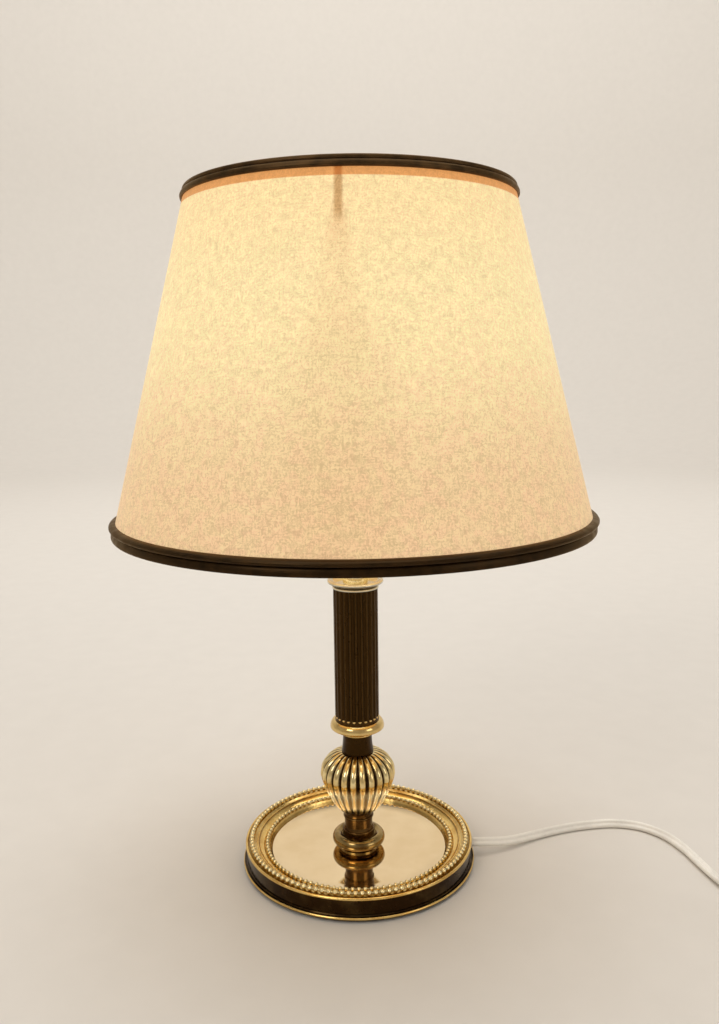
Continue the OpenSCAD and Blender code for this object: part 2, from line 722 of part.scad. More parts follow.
module holder_sleeve() {
  lip_t = 1.4;
  color("goldenrod") translate([0, 0, sleeve_z]) difference() {
    cylinder(r = holder_r, h = holder_sleeve_h);
    translate([0, 0, -past]) cylinder(r = holder_r - holder_wall, h = holder_sleeve_h - lip_t + past);
    cylinder(r = shell_r + shell_t + 2, h = holder_sleeve_h + past);
  }
}

// A ring nut with shallow grip notches
module ring_nut(z) {
  notches = 18;
  notch_d = 3;
  translate([0, 0, z]) difference() {
    cylinder(r = nut_r, h = ring_nut_h);
    translate([0, 0, -past]) cylinder(r = holder_r + seat_gap, h = ring_nut_h + 2 * past);
    for (i = [0 : notches - 1]) rotate([0, 0, 360 * i / notches])
      translate([nut_r + notch_d / 2 - 0.7, 0, -past])
        cylinder(d = notch_d, h = ring_nut_h + 2 * past, $fn = 24);
  }
}

module shade_nut_lower() {
  color("goldenrod") ring_nut(washer_z - play - ring_nut_h);
}

module shade_nut_upper() {
  color("goldenrod") ring_nut(washer_z + washer_t + play);
}

// Bulb
// Radius of the glass between the screw cap and the widest line of the bulb
function glass_r(share) = glass_neck_r + (bulb_r - glass_neck_r) * pow(sin(90 * share), 1.5);

module bulb_globe() {
  shares = [for (i = [0 : arc_steps]) i / arc_steps];
  rise = bulb_mid_z - glass_z;
  outside = concat([for (s = shares) [glass_r(s), glass_z + rise * s]],
    part_of(arc(0, bulb_mid_z, bulb_r, 0, 90), 1, arc_steps));
  inside = concat(arc(0, bulb_mid_z, bulb_r - glass_t, 90, 0),
    [for (i = [arc_steps - 1 : -1 : 0]) [glass_r(shares[i]) - glass_t, glass_z + rise * shares[i]]]);
  color("lemonchiffon") rotate_extrude() polygon(concat(outside, inside));
}

module bulb_cap() {
  cap_z = bulb_z + cap_foot_h;
  turns = floor((cap_h - 4) / bulb_pitch);
  crest = 0.5;
  wall = 0.7;
  wave = [for (i = [0 : turns * 8])
    [bulb_cap_r - crest + crest * cos(45 * i), cap_z + 1 + i * bulb_pitch / 8]];
  color("silver") rotate_extrude() polygon(concat(
    [[bulb_cap_r - 2, cap_z]], wave,
    [[glass_neck_r - 0.6, glass_z - 1], [glass_neck_r, glass_z], [bulb_cap_r - crest - wall - 1, glass_z],
      [bulb_cap_r - 2.2 - wall, cap_z]]));
}

module bulb_insulator() {
  color("#222222") translate([0, 0, bulb_z + 1.2])
    cylinder(r1 = 5.2, r2 = bulb_cap_r - 2, h = cap_foot_h - 1.2);
}

module bulb_tip() {
  color("silver") translate([0, 0, bulb_z]) cylinder(r1 = 3.8, r2 = 4.6, h = 1.2);
}

// Shade
// The fitting washer with its welded arms, which run out, then up along the fabric to the upper wire
module shade_carrier() {
  start = [washer_d / 2 - 1, 0, washer_z + washer_t / 2];
  bend_z = top_wire_z - arm_drop;
  bend = [wire_path_r(bend_z), 0, bend_z];
  wire_mid = [wire_path_r(top_wire_z), 0, top_wire_z];
  top = wire_mid - unit(wire_mid - bend) * (wire_r + seat_gap);
  color("goldenrod") {
    translate([0, 0, washer_z]) difference() {
      cylinder(d = washer_d, h = washer_t);
      translate([0, 0, -past]) cylinder(r = washer_bore_r, h = washer_t + 2 * past);
    }
    for (i = [0 : arm_count - 1]) rotate([0, 0, arm_angle + 360 * i / arm_count])
      bent_bar([start, bend, top], wire_r);
  }
}

module shade_wire(z) {
  rotate_extrude() translate([wire_path_r(z), z]) circle(r = wire_r, $fn = 32);
}

module shade_top_wire() {
  color("goldenrod") shade_wire(top_wire_z);
}

module shade_bottom_wire() {
  color("goldenrod") shade_wire(bottom_wire_z);
}

module shade_fabric() {
  color("wheat") rotate_extrude($fn = 180) polygon([
    [fabric_in(shade_z), shade_z], [fabric_out(shade_z), shade_z],
    [fabric_out(shade_top), shade_top], [fabric_in(shade_top), shade_top]]);
}

module shade_hem_tape() {
  tape_t = 0.2;
  tape_top = top_wire_z - wire_r - 0.2;
  tape_low = tape_top - hem_tape_w;
  color("darkorange") rotate_extrude($fn = 180) polygon([for (p = [[tape_low, tape_t], [tape_low, 0],
    [tape_top, 0], [tape_top, tape_t]]) [fabric_in(p[0]) - seat_gap - p[1], p[0]]]);
}

// The outside of a trim: round ribs stacked along the fabric, given as [height, how proud]
function rib_outline(z, ribs, i = 0) = i < len(ribs)
  ? concat([for (a = [-80 : 20 : 80]) let (at = z + ribs[i][0] / 2 * (1 + sin(a)))
      [fabric_out(at) + seat_gap + 0.5 + (ribs[i][1] - 0.5) * cos(a), at]],
    rib_outline(z + ribs[i][0], ribs, i + 1))
  : [];

module shade_top_trim() {
  low = shade_top - top_trim_h + 0.5;
  low_rib_h = 0.62 * top_trim_h;
  ribs = [[low_rib_h, top_trim_proud], [top_trim_h - low_rib_h, top_trim_proud - 0.6]];
  color("#2a1d12") rotate_extrude($fn = 180) polygon(concat(
    [[fabric_out(low) + seat_gap, low]], rib_outline(low, ribs),
    [[fabric_in(shade_top) - 0.4, low + top_trim_h], [fabric_in(shade_top) - 0.4, shade_top + seat_gap],
      [fabric_out(shade_top) + seat_gap, shade_top + seat_gap]]));
}

module shade_bottom_trim() {
  low = shade_z - 0.5;
  rib_h = 0.55 * bottom_trim_h;
  ribs = [[rib_h, rib_proud], [bottom_trim_h - rib_h, bead_proud]];
  color("#2a1d12") rotate_extrude($fn = 180) polygon(concat(
    [[fabric_in(shade_z) - 0.4, shade_z - seat_gap], [fabric_in(shade_z) - 0.4, low]],
    rib_outline(low, ribs),
    [[fabric_out(low + bottom_trim_h) + seat_gap, low + bottom_trim_h],
      [fabric_out(shade_z) + seat_gap, shade_z - seat_gap]]));
}

// Cord
module cord_inner() {
  color("white") tube(rings(smooth(inner_route, 3), flat_section(8)));
}

// Two thin wires from the stripped cord, under the stem and up its bore
module supply_wires() {
  core_r = wire_core_d / 2;
  low_z = rod_z - core_r - 0.1;
  color("firebrick") for (side = [-1, 1]) bent_bar([
    [strip_x, side * cord_w / 4, inner_z], [nut_across / 2 + 3, side * cord_w / 4, low_z],
    [side * 1.2, side * 1.2, low_z], [side * 1.2, side * 1.2, insulator_z]], core_r);
}

module cord_lead() {
  path = smooth(lead_route, 2);
  echo(lead_length = route_length(path));
  color("white") tube(rings(path, flat_section(8)));
}

module cord_tail() {
  path = smooth(tail_route, 2);
  echo(tail_length = route_length(path));
  color("white") tube(rings(path, flat_section(8)));
}

module cord_end() {
  path = smooth(end_route, 2);
  echo(end_length = route_length(path));
  color("white") tube(rings(path, flat_section(8)));
}

// The coil winds in and out, layer on layer, and climbs in the half turn where it turns back
function coil_stage(t) = floor(t / (coil_layer_turns + 0.5));
function coil_within(t) = t - coil_stage(t) * (coil_layer_turns + 0.5);
function coil_r(t) = let (run = min(coil_within(t), coil_layer_turns) * coil_step)
  coil_stage(t) % 2 == 0 ? coil_out_r - run : coil_in_r + run;
function coil_lift(t) = coil_rise * (coil_stage(t) + 2 * max(0, coil_within(t) - coil_layer_turns));
function coil_point(t) = [coil_x - coil_r(t) * cos(360 * t), coil_y - coil_r(t) * sin(360 * t),
  coil_z + coil_lift(t)];

// Least distance between the corners of rings that pass beside or over each other
function least_gap(list, per_turn) = min([for (i = [0 : len(list) - 1])
  for (j = [i + per_turn - 2 : len(list) - 1])
    if (abs((j - i + per_turn / 2) % per_turn - per_turn / 2) <= 2)
      for (a = list[i], b = list[j]) norm(a - b)]);

module cord_coil() {
  per_turn = 24;
  steps = round(coil_turns * per_turn);
  turns = [for (i = [0 : steps]) coil_point(i / per_turn - (i == steps ? 0.0001 : 0))];
  path = concat([[switch_x, coil_y + cord_w, coil_z]], turns, [[plug_x, coil_y + cord_w, coil_top_z]]);
  list = rings(path, flat_section(6));
  echo(coil_length = route_length(path), coil_gap = least_gap(part_of(list, 1, len(list) - 2), per_turn));
  color("white") tube(list);
}

module coil_tie() {
  inside_w = coil_out_r - coil_in_r + cord_w + 2 * play;
  inside_h = coil_top_z + cord_t / 2 + seat_gap - tie_t;
  color("white") translate([coil_x, coil_y - (coil_in_r + coil_out_r) / 2, 0]) difference() {
    translate([-tie_w / 2, -inside_w / 2 - tie_t, 0])
      cube([tie_w, inside_w + 2 * tie_t, inside_h + 2 * tie_t]);
    translate([-tie_w / 2 - past, -inside_w / 2, tie_t]) cube([tie_w + 2 * past, inside_w, inside_h]);
  }
}

// Cord switch: two halves of a rounded housing, with a rocker on a pin
module switch_plan(inset) {
  round_r = 6;
  long = switch_l - 2 * inset;
  wide = switch_w - 2 * inset;
  corner = round_r - inset;
  translate([-wide / 2 + corner, -long / 2]) square([wide - 2 * corner, long]);
  translate([-wide / 2, -long / 2 + corner]) square([wide, long - 2 * corner]);
  for (x = [-1, 1], y = [-1, 1]) translate([x * (wide / 2 - corner), y * (long / 2 - corner)])
    circle(r = corner, $fn = 48);
}

switch_mid_y = switch_y - switch_l / 2;
rocker_axis_z = switch_h - 3.2;
rocker_pin_d = 2.4;
screw_d = 3;
screw_y = switch_l / 2 - 8;
boss_d = 6;

// A straight opening for the cord at each end of the lower half
module cord_holes() {
  translate([-cord_w / 2 - fit, -switch_l / 2 - past, switch_cord_z - cord_t / 2 - fit])
    cube([cord_w + 2 * fit, switch_l + 2 * past, cord_t + 2 * fit]);
}

module switch_base() {
  color("white") translate([switch_x, switch_mid_y, 0]) difference() {
    union() {
      difference() {
        linear_extrude(switch_split_z) switch_plan(0);
        translate([0, 0, switch_wall]) linear_extrude(switch_split_z) switch_plan(switch_wall);
        cord_holes();
      }
      for (x = [-1, 1], y = [-1, 1]) translate([x * (switch_w / 2 - 5), y * screw_y, switch_wall])
        cylinder(d = boss_d, h = switch_split_z - switch_wall, $fn = 32);
    }
    for (x = [-1, 1], y = [-1, 1]) translate([x * (switch_w / 2 - 5), y * screw_y, -past])
      cylinder(d = screw_d, h = switch_split_z + 2 * past, $fn = 32);
  }
}

// The upper half, with the rocker's opening and two cheeks that hold its pin
module switch_cover() {
  height = switch_h - switch_split_z;
  cheek_t = 2;
  cheek_h = height - switch_wall;
  edge = 2.5;
  color("white") translate([switch_x, switch_mid_y, switch_split_z]) difference() {
    union() {
      difference() {
        union() {
          linear_extrude(height - edge) switch_plan(0);
          linear_extrude(height) switch_plan(edge);
        }
        translate([0, 0, -switch_wall]) linear_extrude(height) switch_plan(switch_wall + edge);
      }
      for (x = [-1, 1])
        translate([x * (rocker_w / 2 + play + cheek_t / 2) - cheek_t / 2, -5, height - cheek_h - 1])
          cube([cheek_t, 10, cheek_h + 0.5]);
    }
    translate([-rocker_w / 2 - play, -rocker_l / 2 - 1.2, -past])
      cube([rocker_w + 2 * play, rocker_l + 2.4, height + 2 * past]);
    translate([-rocker_w, 0, rocker_axis_z - switch_split_z]) rotate([0, 90, 0])
      cylinder(d = rocker_pin_d, h = 2 * rocker_w, $fn = 32);
    for (x = [-1, 1], y = [-1, 1]) translate([x * (switch_w / 2 - 5), y * screw_y, -past])
      cylinder(d = screw_d, h = past + 4, $fn = 32);
  }
}

// A rocker with two slightly sunk finger faces, tilted to its on side
module switch_rocker() {
  half = rocker_l / 2;
  below = 4;
  above = switch_h - rocker_axis_z;
  face_r = 60;
  color("ivory") translate([switch_x, switch_mid_y, rocker_axis_z]) rotate([rocker_tilt, 0, 0]) difference() {
    translate([-rocker_w / 2, 0, 0]) rotate([90, 0, 90]) linear_extrude(rocker_w)
      polygon([[-half, -1], [-half + 5, -below], [half - 5, -below], [half, -1],
        [half, above + 1.6], [0, above + 0.2], [-half, above + 1.6]]);
    translate([-rocker_w, 0, 0]) rotate([0, 90, 0])
      cylinder(d = rocker_pin_d + 2 * seat_gap, h = 2 * rocker_w, $fn = 32);
    for (side = [-1, 1]) translate([-rocker_w, side * half / 2, above + face_r + 0.5]) rotate([0, 90, 0])
      cylinder(r = face_r, h = 2 * rocker_w);
  }
}

module rocker_pin() {
  reach = rocker_w / 2 + play + 1.8;
  color("silver") translate([switch_x - reach, switch_mid_y, rocker_axis_z]) rotate([0, 90, 0])
    cylinder(d = rocker_pin_d, h = 2 * reach, $fn = 32);
}

module switch_screws() {
  color("silver") for (x = [-1, 1], y = [-1, 1])
    translate([switch_x + x * (switch_w / 2 - 5), switch_mid_y + y * screw_y, 0.6])
      cylinder(d = screw_d, h = switch_split_z + 2, $fn = 32);
}

// Plug
// A rounded body that narrows to a tapered strain relief
module plug_body() {
  end_w = 14;
  end_t = 9;
  relief_end_d = cord_w + 1.2;
  body_y = plug_y + relief_l;
  round_r = 3;
  color("white") translate([plug_x, 0, plug_z]) {
    hull() {
      for (x = [-1, 1]) translate([x * (plug_w - plug_t) / 2, body_y + plug_l - 2, 0]) rotate([-90, 0, 0])
        cylinder(d = plug_t, h = 2, $fn = 32);
      for (x = [-1, 1]) translate([x * (plug_w - plug_t) / 2, body_y + plug_l / 2, 0]) rotate([-90, 0, 0])
        cylinder(d = plug_t - 1, h = 1, $fn = 32);
      for (x = [-1, 1]) translate([x * (end_w - end_t) / 2, body_y, 0]) rotate([-90, 0, 0])
        cylinder(d = end_t, h = round_r, $fn = 32);
    }
    translate([0, plug_y, 0]) rotate([-90, 0, 0])
      cylinder(d1 = relief_end_d, d2 = end_t, h = relief_l + round_r, $fn = 48);
  }
}

module plug_pins() {
  face_y = plug_y + relief_l + plug_l;
  color("silver") for (side = [-1, 1]) translate([plug_x + side * pin_spacing / 2, face_y, plug_z])
    rotate([-90, 0, 0]) {
      cylinder(d = pin_d, h = pin_l - pin_d / 2, $fn = 48);
      translate([0, 0, pin_l - pin_d / 2]) sphere(d = pin_d, $fn = 48);
    }
}

felt_pad();
base_ring();
outer_beading();
inner_beading();
mirror_plate();
ballast_plate();
base_washer();
base_nut();
cord_bush();
tie_rod();
stem_foot();
lower_neck();
knop();
upper_neck();
column_collar();
fluted_column();
column_cup();
riser_tube();
holder_locknut();
holder_cap();
holder_insulator();
terminal_screws();
centre_contact();
screw_shell();
holder_sleeve();
shade_nut_lower();
shade_nut_upper();
bulb_globe();
bulb_cap();
bulb_insulator();
bulb_tip();
shade_carrier();
shade_top_wire();
shade_bottom_wire();
shade_fabric();
shade_hem_tape();
shade_top_trim();
shade_bottom_trim();
cord_inner();
supply_wires();
cord_lead();
cord_tail();
cord_coil();
cord_end();
coil_tie();
switch_base();
switch_cover();
switch_rocker();
rocker_pin();
switch_screws();
plug_body();
plug_pins();
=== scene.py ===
"""A brass table lamp with a lit linen shade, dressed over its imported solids. Metres, +Z up."""

import json
import math

import bpy
from mathutils import Matrix, Vector


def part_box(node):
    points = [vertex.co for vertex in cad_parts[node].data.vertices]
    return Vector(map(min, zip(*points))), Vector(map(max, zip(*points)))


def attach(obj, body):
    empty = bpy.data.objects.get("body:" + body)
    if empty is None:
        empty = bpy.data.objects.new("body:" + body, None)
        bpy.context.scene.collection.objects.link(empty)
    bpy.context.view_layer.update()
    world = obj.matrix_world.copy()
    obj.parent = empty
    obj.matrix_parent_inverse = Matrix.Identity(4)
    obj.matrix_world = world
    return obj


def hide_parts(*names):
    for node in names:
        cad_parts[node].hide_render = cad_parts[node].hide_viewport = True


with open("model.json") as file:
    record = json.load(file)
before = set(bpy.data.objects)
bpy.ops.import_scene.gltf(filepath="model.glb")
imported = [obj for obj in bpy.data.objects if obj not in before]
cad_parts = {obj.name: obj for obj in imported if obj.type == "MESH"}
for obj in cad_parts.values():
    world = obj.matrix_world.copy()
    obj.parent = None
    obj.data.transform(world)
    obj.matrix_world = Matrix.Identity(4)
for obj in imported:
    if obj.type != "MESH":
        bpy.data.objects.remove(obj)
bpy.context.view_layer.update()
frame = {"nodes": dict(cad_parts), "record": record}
nodes = frame["nodes"]
MM = 0.001

# Sizes shared with the solids
STEM_FRONT, SEAM_ANGLE = math.radians(270), math.radians(90)
KNOP_Z, KNOP_HIGH, KNOP_WIDE_H = 33.8 * MM, 40.4 * MM, 25.9 * MM
KNOP_R, KNOP_END_R = 24.7 * MM, 10.3 * MM
GADROONS = 24
GADROON_DEPTH = 1.9 * MM
SHADE_Z, SHADE_TOP = 226.5 * MM, 426.9 * MM
SHADE_R, SHADE_TOP_R = 147.9 * MM, 97.3 * MM
FABRIC_T = 0.8 * MM
SHADOW_ANGLE = math.radians(267.1)
CORD_WIDE, CORD_THICK = 6.0 * MM, 3.2 * MM
STEM_BORE = 5.4 * MM
OUTER_WIRE_R, OUTER_WIRE_Z = 71.0 * MM, 16.15 * MM
INNER_WIRE_R, INNER_WIRE_Z = 61.0 * MM, 12.5 * MM


def srgb(red, green, blue):
    """A colour given as 0 to 255 on screen, as linear light with alpha."""
    def linear(value):
        share = value / 255
        return share / 12.92 if share <= 0.04045 else ((share + 0.055) / 1.055) ** 2.4
    return (linear(red), linear(green), linear(blue), 1.0)


def smoothstep(low, high, value):
    share = min(1.0, max(0.0, (value - low) / (high - low)))
    return share * share * (3 - 2 * share)


def half_turn(angle):
    """An angle brought between minus and plus half a turn."""
    return (angle + math.pi) % (2 * math.pi) - math.pi


# Camera
# Fitted to the outlines in the photograph's frame of 719 by 1024 pixels
FRAME_HIGH = 1024
FOCAL_PIXELS = 898
SENSOR = 36
CAMERA_PLACE = (0.0033, -0.560, 0.324)
CAMERA_DOWN, CAMERA_ROLL = math.radians(9.18), math.radians(-0.75)


def make_camera():
    data = bpy.data.cameras.new("camera")
    data.sensor_width = SENSOR
    data.lens = FOCAL_PIXELS / FRAME_HIGH * SENSOR
    camera = bpy.data.objects.new("camera", data)
    pitch = Matrix.Rotation(math.pi / 2 - CAMERA_DOWN, 4, "X")
    roll = Matrix.Rotation(CAMERA_ROLL, 4, "Z")
    camera.matrix_world = Matrix.Translation(CAMERA_PLACE) @ pitch @ roll
    bpy.context.scene.collection.objects.link(camera)
    bpy.context.scene.camera = camera


make_camera()


# Mesh helpers
SHARP_EDGE = math.radians(40)


def make_mesh(name, points, faces, flat_faces=()):
    """A mesh piece, smooth but for the faces whose numbers are in flat_faces."""
    mesh = bpy.data.meshes.new(name)
    mesh.from_pydata([tuple(p) for p in points], [], faces)
    mesh.validate()
    for polygon in mesh.polygons:
        polygon.use_smooth = polygon.index not in flat_faces
    mesh.update()
    piece = bpy.data.objects.new(name, mesh)
    bpy.context.scene.collection.objects.link(piece)
    return piece


def ring_faces(rows, around, closed_rows=False):
    """Quads over rows of points, each row a closed ring."""
    faces = []
    for i in range(rows if closed_rows else rows - 1):
        for k in range(around):
            a = i * around + k
            b = i * around + (k + 1) % around
            c = (i + 1) % rows * around + (k + 1) % around
            d = (i + 1) % rows * around + k
            faces.append((a, b, c, d))
    return faces


def circle(radius, z, around):
    """Points on a level circle round the stem."""
    angles = [2 * math.pi * k / around for k in range(around)]
    return [(radius * math.cos(a), radius * math.sin(a), z) for a in angles]


def make_lathe(name, profile, around):
    """A piece turned from a closed outline of (radius, height), which runs upwards on its outer side."""
    points = [point for radius, z in profile for point in circle(radius, z, around)]
    piece = make_mesh(name, points, ring_faces(len(profile), around, closed_rows=True))
    piece.data.set_sharp_from_angle(angle=SHARP_EDGE)
    return piece


def arc(middle_r, middle_z, radius, start, end, steps=6):
    """Points on an arc of an outline, from one angle to another in degrees."""
    angles = [math.radians(start + (end - start) * k / steps) for k in range(steps + 1)]
    return [(middle_r + radius * math.cos(a), middle_z + radius * math.sin(a)) for a in angles]


# Cord
# The route's points are those of the solids
CORD_EXIT = (75.5, 0, 8.2)
LEAD_TURNS = [(88, 1, 7.6), (104, 7, 5.2), (122, 17, 3.3), (141, 25, 2.8), (160, 30, 2.8), (180, 32, 2.8),
              (198, 27, 2.8), (211, 14, 2.8), (218, -3, 2.8), (222, -22, 2.8), (226, -40, 3),
              (230.5, -54, 4.2), (232.7, -64, 5)]
SWITCH_X, SWITCH_Y, SWITCH_LONG, SWITCH_CORD_Z = 233, -72, 62, 5.2
TAIL_TURNS = [(-142, 4.6), (-152, 3.4), (-162, 2.7)]
COIL_Y, COIL_Z = -184, 2.45
COIL_IN_R, COIL_STEP, COIL_RISE = 29.8, 6.8, 3.8
COIL_LAYERS, COIL_LAYER_TURNS = 4, 1.25
COIL_OUT_R = COIL_IN_R + COIL_LAYER_TURNS * COIL_STEP
COIL_X = SWITCH_X + COIL_OUT_R
COIL_TOP_Z = COIL_Z + (COIL_LAYERS - 1) * COIL_RISE
PLUG_X, PLUG_Y, PLUG_Z = COIL_X + COIL_OUT_R, -118, 7
END_TURNS = [(-166, 13.2), (-154, 11.2), (-144, 9.2), (-134, 7.6)]


def smooth_route(points, steps):
    """Points on a smooth curve through a route, with some more between each two."""
    points = [Vector(p) for p in points]
    out = []
    for i in range(len(points) - 1):
        a, b = points[max(i - 1, 0)], points[i]
        c, d = points[i + 1], points[min(i + 2, len(points) - 1)]
        for k in range(steps):
            t = k / steps
            out.append(0.5 * (2 * b + (c - a) * t + (2 * a - 5 * b + 4 * c - d) * t * t
                              + (3 * b - a - 3 * c + d) * t * t * t))
    return out + [points[-1]]


def coil_point(t):
    """A point of the coil after t turns: in and out, and up in the half turn where it turns back."""
    stage = math.floor(t / (COIL_LAYER_TURNS + 0.5))
    within = t - stage * (COIL_LAYER_TURNS + 0.5)
    run = min(within, COIL_LAYER_TURNS) * COIL_STEP
    radius = COIL_OUT_R - run if stage % 2 == 0 else COIL_IN_R + run
    lift = COIL_RISE * (stage + 2 * max(0, within - COIL_LAYER_TURNS))
    angle = 2 * math.pi * t
    return Vector((COIL_X - radius * math.cos(angle), COIL_Y - radius * math.sin(angle), COIL_Z + lift))


def cord_path():
    """The whole cord's middle line from the base to the plug, in millimetres."""
    per_turn, just_under = 36, 0.0001
    lead_steps, switch_steps, tail_steps = 5, 6, 4
    turns = COIL_LAYERS * COIL_LAYER_TURNS + (COIL_LAYERS - 1) / 2
    count = round(turns * per_turn)
    lead = smooth_route([CORD_EXIT, *LEAD_TURNS, (SWITCH_X, SWITCH_Y, SWITCH_CORD_Z)], lead_steps)
    after_switch = SWITCH_Y - SWITCH_LONG
    inside = [Vector((SWITCH_X, SWITCH_Y - SWITCH_LONG * k / switch_steps, SWITCH_CORD_Z))
              for k in range(1, switch_steps)]
    near_coil = [COIL_Y + 2 * CORD_WIDE / MM, COIL_Y + CORD_WIDE / MM]
    tail = smooth_route([(SWITCH_X, after_switch, SWITCH_CORD_Z)]
                        + [(SWITCH_X, y, z) for y, z in TAIL_TURNS]
                        + [(SWITCH_X, y, COIL_Z) for y in near_coil], tail_steps)
    coil = [coil_point(min(i / per_turn, turns - just_under)) for i in range(count + 1)]
    end = smooth_route([(PLUG_X, y, COIL_TOP_Z) for y in reversed(near_coil)]
                       + [(PLUG_X, y, z) for y, z in END_TURNS] + [(PLUG_X, PLUG_Y, PLUG_Z)], tail_steps)
    return lead + inside + tail + coil + end


def twin_section():
    """The flat twin cord's outline: two round cores joined by a web, as (sideways, up)."""
    core_r = CORD_THICK / 2
    apart = CORD_WIDE / 2 - core_r
    groove = math.radians(134)
    steps = 10
    right = [-groove + 2 * groove * k / steps for k in range(steps + 1)]
    points = [(apart + core_r * math.cos(a), core_r * math.sin(a)) for a in right]
    return points + [(-x, -z) for x, z in points]


def cord_points(path, section):
    """The section along the path. It leaves the base half on edge, and turns flat before the switch."""
    twist, twist_end, flat_start = math.radians(50), 106.2 * MM, 224.2 * MM
    points = []
    run = 0.0
    for i, middle in enumerate(path):
        ahead = (path[min(i + 1, len(path) - 1)] - path[max(i - 1, 0)]).normalized()
        side = ahead.cross(Vector((0, 0, 1))).normalized()
        up = side.cross(ahead)
        if i:
            run += (middle - path[i - 1]).length
        turn = twist * (1 - smoothstep(twist_end, flat_start, run))
        flat = side * math.cos(turn) - up * math.sin(turn)
        rise = up * math.cos(turn) + side * math.sin(turn)
        points += [middle + flat * x + rise * z for x, z in section]
    return points


def make_cord():
    """The whole flat twin lead, which passes through the switch and lies coiled before the plug."""
    path = [p * MM for p in cord_path()]
    section = twin_section()
    around = len(section)
    faces = ring_faces(len(path), around)
    faces += [tuple(range(around - 1, -1, -1)), tuple(range((len(path) - 1) * around, len(path) * around))]
    cord = make_mesh("cord", cord_points(path, section), faces, flat_faces=(len(faces) - 2, len(faces) - 1))
    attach(cord, "lamp")
    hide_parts("cord_lead", "cord_tail", "cord_coil", "cord_end")
    return cord


cord = make_cord()


# Knop
def knop_outline(h):
    """Radius of the knop at a height, before the gadroons are cut in: a pear below, a dome above."""
    pear, pear_swell = 1.25, 0.62
    dome, dome_swell = 2.05, 1 / 1.67
    if h < KNOP_WIDE_H:
        share = (1 - (1 - h / KNOP_WIDE_H) ** pear) ** pear_swell
    else:
        share = max(0.0, 1 - ((h - KNOP_WIDE_H) / (KNOP_HIGH - KNOP_WIDE_H)) ** dome) ** dome_swell
    return KNOP_END_R + (KNOP_R - KNOP_END_R) * share


def gadroon_cut(share):
    """How deep the surface lies across one gadroon, from 0 on its crest to 1 in the groove.
    A thin rounded fillet stands between each two lobes."""
    lobe_half, lobe_curve = 0.40, 2.4
    fillet_high, fillet_start, fillet_end = 0.45, 0.25, 0.75
    across = abs(share - 0.5)
    if across < lobe_half:
        return (across / lobe_half) ** lobe_curve
    in_gap = (across - lobe_half) / (0.5 - lobe_half)
    return 1 - fillet_high * smoothstep(fillet_start, fillet_end, in_gap)


def make_knop():
    """The gadrooned knop, bored for the stem."""
    lobe_steps = 20
    rows_below, rows_above, crowd_at_foot = 40, 26, 1.7
    around = GADROONS * lobe_steps
    heights = [KNOP_WIDE_H * (i / rows_below) ** crowd_at_foot for i in range(rows_below)]
    heights += [KNOP_WIDE_H + (KNOP_HIGH - KNOP_WIDE_H) * math.sin(math.pi / 2 * i / rows_above)
                for i in range(rows_above + 1)]
    points = []
    for h in heights:
        outline = knop_outline(h)
        fade = math.sqrt((outline - KNOP_END_R) / (KNOP_R - KNOP_END_R))
        for k in range(around):
            angle = 2 * math.pi * k / around
            radius = outline - GADROON_DEPTH * gadroon_cut(k % lobe_steps / lobe_steps) * fade
            points.append((radius * math.cos(angle), radius * math.sin(angle), KNOP_Z + h))
    for z in (KNOP_Z + KNOP_HIGH, KNOP_Z):
        points += circle(STEM_BORE, z, around)
    knop = make_mesh("knop_gadroons", points, ring_faces(len(heights) + 2, around, closed_rows=True))
    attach(knop, "lamp")
    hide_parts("knop")
    return knop


knop = make_knop()


# Base
def make_dish():
    """The polished plate, whose edge turns up a little towards the rim."""
    low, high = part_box("mirror_plate")
    outer, under, top = high[0], low[2], high[2]
    flat_r, rise, edge = 46.5 * MM, 1.3 * MM, 0.15 * MM
    steps = 18
    radii = [outer - edge - (outer - edge - flat_r) * k / steps for k in range(1, steps + 1)]
    profile = [(STEM_BORE, under), (outer, under)]
    profile += arc(outer - edge, top + rise - edge, edge, 0, 90, 4)
    profile += [(r, top + rise * ((r - flat_r) / (outer - edge - flat_r)) ** 2) for r in radii]
    profile.append((STEM_BORE, top))
    dish = make_lathe("mirror_dish", profile, 240)
    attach(dish, "lamp")
    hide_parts("mirror_plate")
    return dish


def make_felt():
    """The felt under the base, its cut edge pressed a little round."""
    low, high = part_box("felt_pad")
    outer, thick = high[0], high[2] - low[2]
    hole, edge = 15.0 * MM, 0.5 * MM
    profile = arc(outer - edge, edge, edge, -90, 0)
    profile += arc(outer - edge, thick - edge, edge, 0, 90)
    profile += [(hole, thick), (hole, 0.0)]
    pad = make_lathe("felt_disc", profile, 180)
    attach(pad, "lamp")
    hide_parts("felt_pad")
    return pad


dish = make_dish()
felt_disc = make_felt()


# Shade
SHADE_SLOPE = math.atan2(SHADE_R - SHADE_TOP_R, SHADE_TOP - SHADE_Z)
# Distance along the fabric from the point that the cone would run up to
SLANT_LOW = SHADE_R / math.sin(SHADE_SLOPE)
SLANT_HIGH = SHADE_TOP_R / math.sin(SHADE_SLOPE)
# The angle of the ring sector that the fabric is cut to
SHADE_SECTOR = 2 * math.pi * math.sin(SHADE_SLOPE)
SEAM_LAP = 9 * MM


